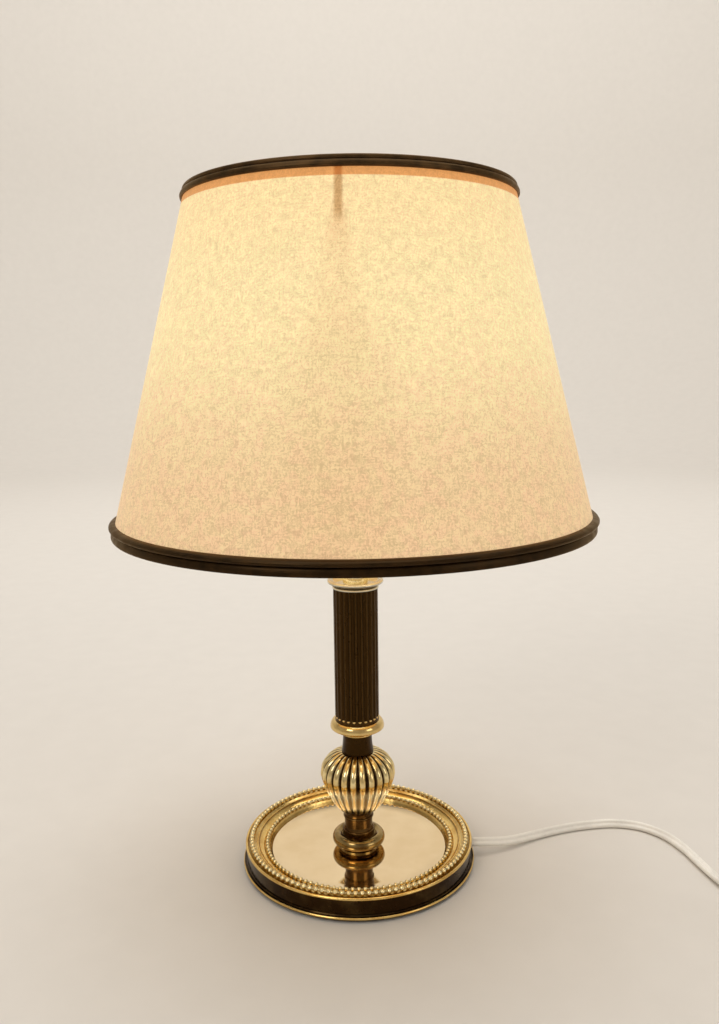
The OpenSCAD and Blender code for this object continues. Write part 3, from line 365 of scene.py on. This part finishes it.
def make_hem():
    """The tape glued inside the shade's top, a thin band on the same cone, pressed to a slight wave."""
    low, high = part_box("shade_hem_tape")
    wide_r, z_low, z_high = high[0], low[2], high[2]
    thick, wave, waves = 0.2 * MM, 0.04 * MM, 90
    around, rows = 720, 6
    points = []
    for side in (0, 1):
        for i in range(rows + 1):
            z = z_low + (z_high - z_low) * (i if side == 0 else rows - i) / rows
            for k in range(around):
                angle = 2 * math.pi * k / around
                radius = wide_r - (z - z_low) * math.tan(SHADE_SLOPE) - side * thick
                radius -= wave * (0.5 + 0.5 * math.sin(waves * angle))
                points.append((radius * math.cos(angle), radius * math.sin(angle), z))
    hem = make_mesh("hem_tape_band", points, ring_faces(2 * rows + 2, around, closed_rows=True))
    hem.data.set_sharp_from_angle(angle=SHARP_EDGE)
    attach(hem, "shade")
    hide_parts("shade_hem_tape")
    return hem


def shade_points(around, rows):
    """Points of the linen's outside, then of its inside, with each one's slant and angle in the flat cut."""
    lap_t, lap_start, lap_end = 0.25 * MM, 0.5 * MM, 1.0 * MM
    points, flat = [], []
    for side in (0, 1):
        for i in range(rows + 1):
            share = i / rows
            for k in range(around):
                angle = 2 * math.pi * k / around
                z = SHADE_Z + (SHADE_TOP - SHADE_Z) * share
                radius = SHADE_R + (SHADE_TOP_R - SHADE_R) * share - side * FABRIC_T
                past_seam = half_turn(angle - SEAM_ANGLE) * radius
                lapped = smoothstep(0, lap_start, past_seam)
                lapped *= 1 - smoothstep(SEAM_LAP, SEAM_LAP + lap_end, past_seam)
                radius += 0 if side else lap_t * lapped
                points.append((radius * math.cos(angle), radius * math.sin(angle), z))
                slant = SLANT_LOW + (SLANT_HIGH - SLANT_LOW) * share
                turned = half_turn(angle - STEM_FRONT) * math.sin(SHADE_SLOPE)
                flat.append((slant, turned))
    return points, flat


def shade_faces(around, rows):
    """Faces of the linen's outside and inside, and then of its two cut edges."""
    shell, top = (rows + 1) * around, rows * around
    faces = ring_faces(rows + 1, around)
    faces += [tuple(shell + v for v in reversed(f)) for f in ring_faces(rows + 1, around)]
    for k in range(around):
        after = (k + 1) % around
        faces.append((k, shell + k, shell + after, after))
        faces.append((top + after, shell + top + after, shell + top + k, top + k))
    return faces


def map_flat_cut(shade, flat):
    """Lays the linen's faces out as they were cut, those that end at the seam too."""
    layer = shade.data.uv_layers.new(name="flat_cut")
    for polygon in shade.data.polygons:
        corners = [flat[v] for v in polygon.vertices]
        turns = [turned for _, turned in corners]
        ends_at_seam = max(turns) - min(turns) > SHADE_SECTOR / 2
        for loop, (slant, turned) in zip(polygon.loop_indices, corners):
            if ends_at_seam and turned < 0:
                turned += SHADE_SECTOR
            layer.data[loop].uv = (slant * math.sin(turned), -slant * math.cos(turned))


def make_shade():
    """Laminated linen rolled to a cone, lapped along a seam at the back. Its map holds the flat cut."""
    around, rows = 360, 24
    points, flat = shade_points(around, rows)
    faces = shade_faces(around, rows)
    shade = make_mesh("shade_linen", points, faces, flat_faces=range(2 * rows * around, len(faces)))
    map_flat_cut(shade, flat)
    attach(shade, "shade")
    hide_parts("shade_fabric")
    return shade


hem_band = make_hem()
shade = make_shade()


# Materials
# Most values of a noise lie between these
NOISE_LOW, NOISE_HIGH = 0.3, 0.75


class Paint:
    """A material whose nodes are added one by one onto its Principled shader."""

    def __init__(self, name, **settings):
        self.material = bpy.data.materials.new(name)
        self.material.use_nodes = True
        self.tree = self.material.node_tree
        self.shader = self.tree.nodes["Principled BSDF"]
        self.set(**settings)

    def set(self, **settings):
        for name, value in settings.items():
            self.feed(self.shader.inputs[name.replace("_", " ")], value)

    def feed(self, socket, value):
        if isinstance(value, bpy.types.NodeSocket):
            self.tree.links.new(value, socket)
        else:
            socket.default_value = value

    def add(self, kind, *values, **settings):
        node = self.tree.nodes.new("ShaderNode" + kind)
        for name, value in settings.items():
            setattr(node, name, value)
        for socket, value in zip(node.inputs, values):
            self.feed(socket, value)
        return node

    def math(self, operation, *values):
        return self.add("Math", *values, operation=operation).outputs[0]

    def place(self):
        """X, Y, Z and the distance from the stem, in metres, in the piece's own frame."""
        if not hasattr(self, "placed"):
            self.point = self.add("TexCoord").outputs["Object"]
            x, y, z = self.add("SeparateXYZ", self.point).outputs[:3]
            squares = self.math("MULTIPLY_ADD", x, x, self.math("MULTIPLY", y, y))
            away = self.math("SQRT", squares)
            self.placed = (x, y, z, away)
        return self.placed

    def facing_up(self):
        """How far the surface faces up, from -1 to 1."""
        return self.add("SeparateXYZ", self.add("NewGeometry").outputs["True Normal"]).outputs[2]

    def noise(self, scale, detail=3.0, stretch=None, point=None, swirl=0.0):
        """Cloudy noise from 0 to 1, its marks about 1/scale metres wide."""
        self.place()
        vector = point or self.point
        if stretch:
            vector = self.add("Mapping", vector).outputs[0]
            vector.node.inputs["Scale"].default_value = stretch
        node = self.add("TexNoise")
        self.feed(node.inputs["Vector"], vector)
        node.inputs["Scale"].default_value = scale
        node.inputs["Detail"].default_value = detail
        node.inputs["Distortion"].default_value = swirl
        return node.outputs[0]

    def ramp(self, value, low, high, to_low=0.0, to_high=1.0):
        node = self.add("MapRange", value, low, high, to_low, to_high, interpolation_type="SMOOTHSTEP")
        return node.outputs[0]

    def between(self, value, low, high, soft):
        """1 where a value lies between two limits, with soft edges."""
        up = self.ramp(value, low - soft, low + soft)
        down = self.ramp(value, high - soft, high + soft, 1.0, 0.0)
        return self.math("MULTIPLY", up, down)

    def mix(self, factor, first, second, blend="MIX"):
        node = self.add("Mix", data_type="RGBA", blend_type=blend)
        for socket, value in ((node.inputs[0], factor), (node.inputs[6], first), (node.inputs[7], second)):
            self.feed(socket, value)
        return node.outputs[2]

    def tones(self, marks, first, second, low=0.35, high=0.7):
        """A colour that goes from one tone to another with a noise's marks."""
        return self.mix(self.ramp(marks, low, high), first, second)

    def gloss(self, marks, smooth, dull):
        """Roughness that goes from one value to another with a noise's marks."""
        return self.ramp(marks, NOISE_LOW, NOISE_HIGH, smooth, dull)

    def bump(self, height, strength, distance):
        node = self.add("Bump")
        self.feed(node.inputs["Height"], height)
        node.inputs["Strength"].default_value = strength
        node.inputs["Distance"].default_value = distance
        self.set(Normal=node.outputs[0])


BRASS = srgb(230, 202, 138)
BRASS_DEEP = srgb(200, 164, 98)
# Dark brown for patina in hollows, used too for painted shade and painted reflection on the brass
PATINA_AND_SHADE = srgb(50, 34, 18)


def polished_brass(name, smooth=0.10, dull=0.24, light=BRASS, deep=BRASS_DEEP):
    """Polished brass: small cloudy changes of tone, fine wiping marks."""
    paint = Paint(name, Metallic=1.0)
    clouds = paint.noise(90, 4)
    wiping = paint.noise(700, 3, stretch=(1, 1, 4))
    paint.set(Base_Color=paint.tones(clouds, light, deep), Roughness=paint.gloss(wiping, smooth, dull))
    paint.bump(wiping, 0.02, 0.2 * MM)
    return paint.material


def pale_brass():
    """Pale polished brass, with painted shade under the cup's lip, where the surface faces down."""
    paint = Paint("pale_brass", Metallic=1.0)
    clouds = paint.noise(90, 4)
    # Painted shade: the brass darkens where it faces down, as under the lip
    facing_down, level, patina_and_shade_depth = -0.5, -0.05, 0.85
    under = paint.ramp(paint.facing_up(), facing_down, level, patina_and_shade_depth, 0.0)
    brass = paint.tones(clouds, srgb(242, 236, 212), srgb(230, 220, 188))
    paint.set(Base_Color=paint.mix(under, brass, PATINA_AND_SHADE), Roughness=paint.gloss(clouds, 0.16, 0.24))
    paint.bump(clouds, 0.01, 0.2 * MM)
    return paint.material


def gadroon_brass():
    """Brass lobes polished bright, with a dark patina left in the grooves between them; painted reflection
    makes the lobes palest below, painted shade deepens the grooves above.
    """
    paint = Paint("gadroon_brass", Metallic=1.0)
    x, y, z, _ = paint.place()
    turns = paint.math("MULTIPLY", paint.math("ARCTAN2", y, x), GADROONS / (2 * math.pi))
    off_crest = paint.math("ABSOLUTE", paint.math("SUBTRACT", paint.math("FRACT", turns), 0.5))
    clouds = paint.noise(160, 4)
    lobe_edge, groove_edge = 0.27, 0.40
    foot, lifted, waist, wide = (KNOP_Z + h * MM for h in (3, 8, 16, 26))
    lit_groove_share = 0.7
    # Painted shade over the patina: the grooves are darkest above the waist and at the foot, and lighter
    # between
    upper = paint.ramp(z, waist, wide)
    depth = paint.math("MAXIMUM", paint.ramp(upper, 0.0, 1.0, lit_groove_share, 1.0),
                       paint.ramp(z, foot, lifted, 1.0, lit_groove_share))
    dark = paint.math("MULTIPLY", paint.ramp(off_crest, lobe_edge, groove_edge), depth)
    brass = paint.tones(clouds, srgb(248, 228, 172), srgb(226, 196, 130))
    # Painted reflection of the bright dish below: the lobes are paler below the waist
    brass = paint.mix(upper, srgb(252, 244, 218), brass)
    paint.set(Base_Color=paint.mix(dark, brass, PATINA_AND_SHADE), Roughness=paint.gloss(clouds, 0.12, 0.24))
    paint.bump(clouds, 0.012, 0.2 * MM)
    return paint.material


def bead_brass():
    """Bright beads on their wires, with a dark patina where they meet."""
    paint = Paint("bead_brass", Metallic=1.0)
    _, _, z, away = paint.place()

    def from_wire(radius, height):
        out = paint.math("SUBTRACT", away, radius)
        up = paint.math("SUBTRACT", z, height)
        return paint.math("SQRT", paint.math("MULTIPLY_ADD", out, out, paint.math("MULTIPLY", up, up)))

    nearest = paint.math("MINIMUM", from_wire(OUTER_WIRE_R, OUTER_WIRE_Z),
                         from_wire(INNER_WIRE_R, INNER_WIRE_Z))
    wire_r, bead_r, patina_and_shade_depth = 0.6 * MM, 1.1 * MM, 0.45
    gap = paint.ramp(nearest, wire_r, bead_r, patina_and_shade_depth, 0.0)
    clouds = paint.noise(300, 3)
    brass = paint.tones(clouds, srgb(252, 238, 190), srgb(244, 220, 160))
    paint.set(Base_Color=paint.mix(gap, brass, PATINA_AND_SHADE), Roughness=paint.gloss(clouds, 0.12, 0.22))
    paint.bump(clouds, 0.03, 0.2 * MM)
    return paint.material


def mirror_brass():
    """The polished dish: pale brass, nearly a mirror, with faint turning marks."""
    paint = Paint("mirror_brass", Metallic=1.0)
    away = paint.place()[3]
    radians_per_metre = 9000.0
    turning = paint.math("SINE", paint.math("MULTIPLY", away, radians_per_metre))
    clouds = paint.noise(60, 4)
    paint.set(Base_Color=paint.tones(clouds, srgb(246, 224, 184), srgb(238, 214, 172), NOISE_LOW, NOISE_HIGH),
              Roughness=paint.gloss(clouds, 0.03, 0.06))
    paint.bump(turning, 0.02, 0.04 * MM)
    return paint.material


def dark_brass():
    """Dark patina, a dull brown brass along the ridges, and a painted highlight on the upward faces at the
    foot of each flute.
    """
    paint = Paint("dark_brass", Metallic=1.0)
    _, _, z, away = paint.place()
    flute_r, ridge_r = 13.75 * MM, 14.25 * MM
    foot_z, foot_top, soft = 98.0 * MM, 100.0 * MM, 0.3 * MM
    spots = paint.noise(220, 5)
    ridge_tone = paint.math("MULTIPLY", paint.ramp(away, flute_r, ridge_r), paint.ramp(spots, 0.25, 0.7, 0.25, 0.8))
    # Painted highlight: where the flute ends face up they are bright brass
    foot = paint.math("MULTIPLY", paint.between(z, foot_z, foot_top, soft),
                      paint.ramp(paint.facing_up(), 0.25, 0.6))
    patina = paint.mix(ridge_tone, srgb(58, 40, 18), srgb(84, 62, 32))
    paint.set(Base_Color=paint.mix(foot, patina, BRASS), Roughness=paint.ramp(spots, 0.3, 0.7, 0.26, 0.42))
    paint.bump(spots, 0.12, 0.3 * MM)
    return paint.material


def base_brass():
    """The rim: brass on its edges and its cove, with a dark patina in the grooves, a painted reflection of a
    dark table on the side band, and painted shade on the flange's foot and the inner wall.
    """
    paint = Paint("base_brass", Metallic=1.0)
    _, _, z, away = paint.place()
    clouds = paint.noise(80, 4)
    wiping = paint.noise(600, 3)

    def up_to(height, soft, depth=1.0):
        return paint.ramp(z, height * MM, (height + soft) * MM, depth, 0.0)

    def ring(radii, soft, depth=1.0):
        low, high = (radius * MM for radius in radii)
        return paint.math("MULTIPLY", paint.between(away, low, high, soft * MM), depth)

    # Where the patina and the painted shade lie, in millimetres from the table or from the stem
    side_top, flange_top, wall_top = 13.3, 2.2, 9.6
    side_band, flange_in, wall_out = (73.2, 76.2), 75.0, 60.5
    roll_groove, outer_seat, cove_groove, inner_seat = (72.3, 73.4), (68.0, 72.4), (66.0, 66.6), (60.2, 62.4)
    # Painted reflection: the side band is darkened as if it showed a dark table and room. Painted shade: the
    # flange's foot and the inner wall by the dish are darkened
    side = paint.math("MULTIPLY", up_to(side_top, 0.3), ring(side_band, 0.2))
    flange = paint.math("MULTIPLY", up_to(flange_top, 0.6, 0.9),
                        paint.ramp(away, flange_in * MM, (flange_in + 0.6) * MM))
    wall = paint.math("MULTIPLY", up_to(wall_top, 0.8, 0.45),
                      paint.ramp(away, wall_out * MM, (wall_out + 1.0) * MM, 1.0, 0.0))
    # The grooves hold a dark patina
    grooves = [ring(roll_groove, 0.15, 0.7), ring(outer_seat, 0.2, 0.3), ring(cove_groove, 0.15, 0.5),
               ring(inner_seat, 0.2, 0.3)]
    dark = side
    for patina in (flange, wall, *grooves):
        dark = paint.math("MAXIMUM", dark, patina)
    dark = paint.math("MULTIPLY", dark, paint.ramp(clouds, 0.25, 0.6, 0.94, 1.0))
    brass = paint.tones(clouds, srgb(242, 208, 132), srgb(220, 178, 100))
    paint.set(Base_Color=paint.mix(dark, brass, PATINA_AND_SHADE), Roughness=paint.gloss(wiping, 0.14, 0.30))
    paint.bump(wiping, 0.05, 0.2 * MM)
    return paint.material


def darker(colour, share):
    """A share of a colour's light."""
    return tuple(share * c for c in colour[:3]) + (1.0,)


def plain_metal(name, colour, rough, grain=500):
    """Bare metal with a fine uneven grain."""
    paint = Paint(name, Metallic=1.0)
    marks = paint.noise(grain, 4)
    paint.set(Base_Color=paint.tones(marks, colour, darker(colour, 0.6), NOISE_LOW, NOISE_HIGH),
              Roughness=paint.gloss(marks, rough, rough + 0.18))
    paint.bump(marks, 0.08, 0.2 * MM)
    return paint.material


def moulded(name, colour, rough, grain=900, bump=0.05):
    """Moulded plastic or glaze with a faint uneven skin."""
    paint = Paint(name)
    skin = paint.noise(grain, 3)
    clouds = paint.noise(70, 3)
    paint.set(Base_Color=paint.tones(clouds, colour, darker(colour, 0.86), NOISE_LOW, NOISE_HIGH),
              Roughness=paint.gloss(skin, rough, rough + 0.14))
    paint.bump(skin, bump, 0.2 * MM)
    return paint.material


def felt():
    """Brown felt with a deep nap."""
    paint = Paint("felt", Roughness=0.95, Sheen_Weight=0.4)
    nap = paint.noise(1600, 5)
    paint.set(Base_Color=paint.tones(nap, srgb(62, 42, 26), srgb(38, 26, 16), 0.3, 0.7))
    paint.bump(nap, 0.6, 0.6 * MM)
    return paint.material


# The lit fabric's own light, from its foot up to its top, under the arms and through the hem
LINEN_LOW = (0.565, 0.400, 0.213, 1.0)
LINEN_HOT = (0.705, 0.595, 0.308, 1.0)
LINEN_HIGH = (0.715, 0.568, 0.282, 1.0)
LINEN_SHADOW = (0.33, 0.165, 0.045, 1.0)
LINEN_DIM = (0.55, 0.27, 0.125, 1.0)
HEM_GLOW = (0.57, 0.27, 0.085, 1.0)
HEM_SHADOW = (0.36, 0.115, 0.02, 1.0)
# Uneven fibres let a little less green through in places
ROSY_TINT = (1.03, 0.94, 1.0, 1.0)
# Heights on the lit shade, in metres
GLOW_FOOT_Z, GLOW_Z = 0.252, 0.352
HIGH_FOOT_Z, HIGH_Z = 0.360, 0.420
STREAK_FOOT_Z, STREAK_Z = 0.390, 0.402
HEM_Z, HEM_SOFT = 0.4171, 0.3 * MM


def linen_weave(paint):
    """The height of slubby threads, which follow the flat cut, and of tufts between them."""
    cut = paint.add("UVMap", uv_map="flat_cut").outputs[0]

    def both_ways(fine, long):
        return [paint.noise(1.0, 2, stretch=(a, b, 1), point=cut) for a, b in ((fine, long), (long, fine))]

    warp, weft = both_ways(1100, 200)
    slub, cross_slub = (paint.ramp(slubs, 0.62, 0.78) for slubs in both_ways(800, 130))
    threads = paint.math("MULTIPLY", paint.math("ADD", warp, weft), 0.16)
    tufts = paint.math("MULTIPLY_ADD", paint.noise(430, 4, swirl=2.2), 0.50, threads)
    tufts = paint.math("MULTIPLY_ADD", paint.noise(210, 3), 0.16, tufts)
    return paint.math("MULTIPLY_ADD", paint.math("MAXIMUM", slub, cross_slub), -0.12, tufts)


def bulb_glow(paint):
    """Light through the linen, strongest level with the bulb, and rosy in places, mostly below."""
    z = paint.place()[2]
    warm = paint.mix(paint.ramp(z, GLOW_FOOT_Z, GLOW_Z), LINEN_LOW, LINEN_HOT)
    warm = paint.mix(paint.ramp(z, HIGH_FOOT_Z, HIGH_Z), warm, LINEN_HIGH)
    patches = paint.ramp(paint.noise(120, 4, swirl=1.0), 0.42, 0.62)
    rosy = paint.math("MULTIPLY", patches, paint.ramp(z, 0.300, 0.370, 1.0, 0.4))
    return paint.mix(rosy, warm, ROSY_TINT, "MULTIPLY")


def arm_shadows(paint):
    """The arms' shadows under the upper wire, as three shares: a dark streak at the top of each,
    a faint funnel that widens below it, and a broad dimness round that."""
    x, y, z, away = paint.place()
    turn = paint.math("SUBTRACT", paint.math("ARCTAN2", y, x), SHADOW_ANGLE)
    from_arm = paint.math("WRAP", turn, math.pi / 3, -math.pi / 3)
    beside = paint.math("MULTIPLY", paint.math("ABSOLUTE", from_arm), away)
    streak = paint.math("MULTIPLY", paint.ramp(beside, 0.9 * MM, 3.1 * MM, 1.0, 0.0),
                        paint.ramp(z, STREAK_FOOT_Z, STREAK_Z))
    narrow, narrowest, widening = 3.0 * MM, 2.0 * MM, 0.19
    below = paint.math("SUBTRACT", STREAK_Z, z)
    spread = paint.math("MAXIMUM", paint.math("MULTIPLY_ADD", below, widening, narrow), narrowest)
    depth = paint.math("ADD", paint.ramp(z, 0.312, 0.352, 0.0, 0.18), paint.ramp(z, 0.375, 0.395, 0.0, 0.22))
    across = paint.math("DIVIDE", beside, spread)
    funnel = paint.math("MULTIPLY", paint.ramp(across, 0.4, 1.6, 1.0, 0.0), depth)
    broad = paint.math("MULTIPLY", paint.ramp(beside, 4.0 * MM, 45.0 * MM, 0.15, 0.0),
                       paint.ramp(z, 0.325, 0.365, 1.0, 0.2))
    return streak, funnel, broad


def linen():
    """Slubby linen on a stiff backing, lit from inside, with the hem tape showing through its top."""
    paint = Paint("linen", Roughness=0.9, Sheen_Weight=0.1)
    weave = linen_weave(paint)
    streak, funnel, broad = arm_shadows(paint)
    warm = paint.mix(funnel, bulb_glow(paint), LINEN_DIM)
    warm = paint.mix(paint.math("MAXIMUM", streak, broad), warm, LINEN_SHADOW)
    hem = paint.ramp(paint.place()[2], HEM_Z - HEM_SOFT, HEM_Z + HEM_SOFT)
    warm = paint.mix(hem, warm, paint.mix(streak, HEM_GLOW, HEM_SHADOW))
    cloth = paint.tones(weave, srgb(150, 126, 92), srgb(176, 154, 120), 0.36, 0.62)
    paint.set(Base_Color=paint.mix(hem, cloth, srgb(150, 96, 52)), Emission_Color=warm,
              Emission_Strength=paint.ramp(weave, 0.38, 0.60, 0.84, 1.11))
    paint.bump(weave, 0.4, 0.4 * MM)
    return paint.material


def hem_tape():
    """Ribbed orange tape."""
    paint = Paint("hem_tape", Roughness=0.8)
    ribs = paint.noise(1500, 2, stretch=(1, 1, 0.1))
    paint.set(Base_Color=paint.mix(ribs, srgb(200, 126, 58), srgb(150, 84, 34)))
    paint.bump(ribs, 0.3, 0.3 * MM)
    return paint.material


def opal_glass():
    """The lit bulb's frosted globe."""
    paint = Paint("opal_glass", Roughness=0.35, Emission_Color=srgb(255, 240, 208))
    z = paint.place()[2]
    neck_z, globe_z = 0.290, 0.350
    clouds = paint.noise(60, 3)
    paint.set(Base_Color=paint.mix(clouds, srgb(252, 246, 232), srgb(244, 234, 214)),
              Emission_Strength=paint.ramp(z, neck_z, globe_z, 0.6, 1.1))
    paint.bump(clouds, 0.03, 0.3 * MM)
    return paint.material


def dark_trim():
    """Glossy dark brown moulding, its tone a little uneven and the upper one a little lighter."""
    paint = Paint("dark_trim", Metallic=0.6, Specular_IOR_Level=0.3, Specular_Tint=(1.0, 0.74, 0.44, 1.0))
    clouds = paint.noise(140, 4)
    lower_z, upper_z = 0.25, 0.40
    lower = paint.tones(clouds, srgb(36, 24, 11), srgb(52, 35, 16), 0.3, 0.7)
    upper = paint.tones(clouds, srgb(54, 39, 22), srgb(80, 58, 34), 0.3, 0.7)
    paint.set(Base_Color=paint.mix(paint.ramp(paint.place()[2], lower_z, upper_z), lower, upper),
              Roughness=paint.ramp(clouds, 0.3, 0.7, 0.30, 0.44))
    paint.bump(clouds, 0.06, 0.3 * MM)
    return paint.material


PAINTS = {
    "felt": felt(),
    "base_brass": base_brass(),
    "bead_brass": bead_brass(),
    "mirror_brass": mirror_brass(),
    "polished_brass": polished_brass("polished_brass"),
    "gadroon_brass": gadroon_brass(),
    # aged_brass: a darker copy of the polished brass for the stem's foot, painted shade for the dark room
    # that it reflects
    "aged_brass": polished_brass("aged_brass", 0.12, 0.26, srgb(170, 145, 93), srgb(114, 90, 53)),
    "umber_brass": polished_brass("umber_brass", 0.14, 0.28, srgb(112, 84, 46), srgb(72, 50, 27)),
    "pale_brass": pale_brass(),
    "dark_brass": dark_brass(),
    "wire_brass": polished_brass("wire_brass", 0.22, 0.36),
    "iron": plain_metal("iron", srgb(82, 80, 78), 0.55, 300),
    "steel": plain_metal("steel", srgb(190, 190, 188), 0.24),
    "nickel": plain_metal("nickel", srgb(206, 202, 194), 0.16),
    "porcelain": moulded("porcelain", srgb(236, 232, 222), 0.18),
    "opal_glass": opal_glass(),
    "black_glass": moulded("black_glass", srgb(26, 26, 28), 0.15),
    "linen": linen(),
    "hem_tape": hem_tape(),
    "dark_trim": dark_trim(),
    "white_cord": moulded("white_cord", srgb(238, 234, 226), 0.26, 1200, 0.04),
    "wire_insulation": moulded("wire_insulation", srgb(128, 66, 40), 0.4),
    "tie_plastic": moulded("tie_plastic", srgb(232, 232, 228), 0.45),
    "white_plastic": moulded("white_plastic", srgb(238, 236, 230), 0.3),
    "rocker_plastic": moulded("rocker_plastic", srgb(226, 220, 206), 0.26),
}


def paint_piece(piece, paint):
    """Puts one of the paints on a new piece or on a CAD node."""
    if not piece.material_slots:
        piece.data.materials.append(PAINTS[paint])
    for holder in piece.material_slots:
        holder.link = "OBJECT"
        holder.material = PAINTS[paint]


for entry in frame["record"]["subparts"]:
    paint_piece(nodes[entry["node"]], entry["material_slot"])
for piece, paint in ((cord, "white_cord"), (knop, "gadroon_brass"), (dish, "mirror_brass"),
                     (felt_disc, "felt"), (shade, "linen"), (hem_band, "hem_tape"),
                     (nodes["stem_foot"], "aged_brass"), (nodes["lower_neck"], "umber_brass"),
                     (nodes["column_cup"], "pale_brass"), (nodes["riser_tube"], "pale_brass")):
    paint_piece(piece, paint)


# Studio
WARM_WHITE = (1.0, 0.97, 0.93)
WALL_WHITE = (1.0, 0.98, 0.95)
# How far from the lamp and how high the wall's lights are, and where they point
WALL_LIGHT_R, WALL_LIGHT_Z, WALL_AIM_R, WALL_AIM_Z = 1.4, 2.6, 3.4, 0.6


def make_floor():
    """A round pale floor that curves up to a wall all round it, so that no view shows an edge."""
    flat_r, bend_r, high = 2.4, 1.2, 3.8
    around, bend_steps = 96, 16
    outline = arc(flat_r, bend_r, bend_r, -90, 0, bend_steps)
    outline.append((flat_r + bend_r, high))
    points = [point for radius, z in outline for point in circle(radius, z, around)]
    faces = [tuple(range(around))] + [tuple(reversed(f)) for f in ring_faces(len(outline), around)]
    floor = make_mesh("floor", points, faces, flat_faces=(0,))
    paint = Paint("floor", Roughness=0.7)
    grain = paint.noise(40, 4)
    paint.set(Base_Color=paint.mix(grain, srgb(218, 213, 206), srgb(212, 207, 200)))
    floor.data.materials.append(paint.material)


def make_light(name, place, size, watts, colour, aim=(0, 0, 0.2)):
    """A soft square light, pointed at the lamp unless told otherwise."""
    data = bpy.data.lights.new(name, "AREA")
    data.size = size
    data.energy = watts
    data.color = colour
    light = bpy.data.objects.new(name, data)
    light.location = place
    light.rotation_euler = (Vector(aim) - Vector(place)).to_track_quat("-Z", "Y").to_euler()
    bpy.context.scene.collection.objects.link(light)


def make_world():
    """Dim even light, which comes in over the top of the wall."""
    world = bpy.data.worlds.new("studio")
    world.use_nodes = True
    background = world.node_tree.nodes["Background"]
    background.inputs["Color"].default_value = (*WARM_WHITE, 1.0)
    background.inputs["Strength"].default_value = 0.24
    bpy.context.scene.world = world


make_floor()
make_world()
make_light("overhead", (0, 0.1, 2.4), size=1.8, watts=18, colour=WARM_WHITE)
make_light("key", (-0.9, -1.2, 1.3), size=0.7, watts=6, colour=(1.0, 0.97, 0.92))
make_light("fill", (1.3, -0.9, 0.8), size=0.7, watts=2.6, colour=(1.0, 0.96, 0.9))
for name, x, y, watts in (("backdrop", 0, 1, 57), ("left_wall", -1, 0, 12), ("right_wall", 1, 0, 12),
                          ("front_wall", 0, -1, 12)):
    make_light(name, (WALL_LIGHT_R * x, WALL_LIGHT_R * y, WALL_LIGHT_Z), size=2.4, watts=watts,
               colour=WALL_WHITE, aim=(WALL_AIM_R * x, WALL_AIM_R * y, WALL_AIM_Z))

bpy.context.scene.view_settings.view_transform = "Standard"
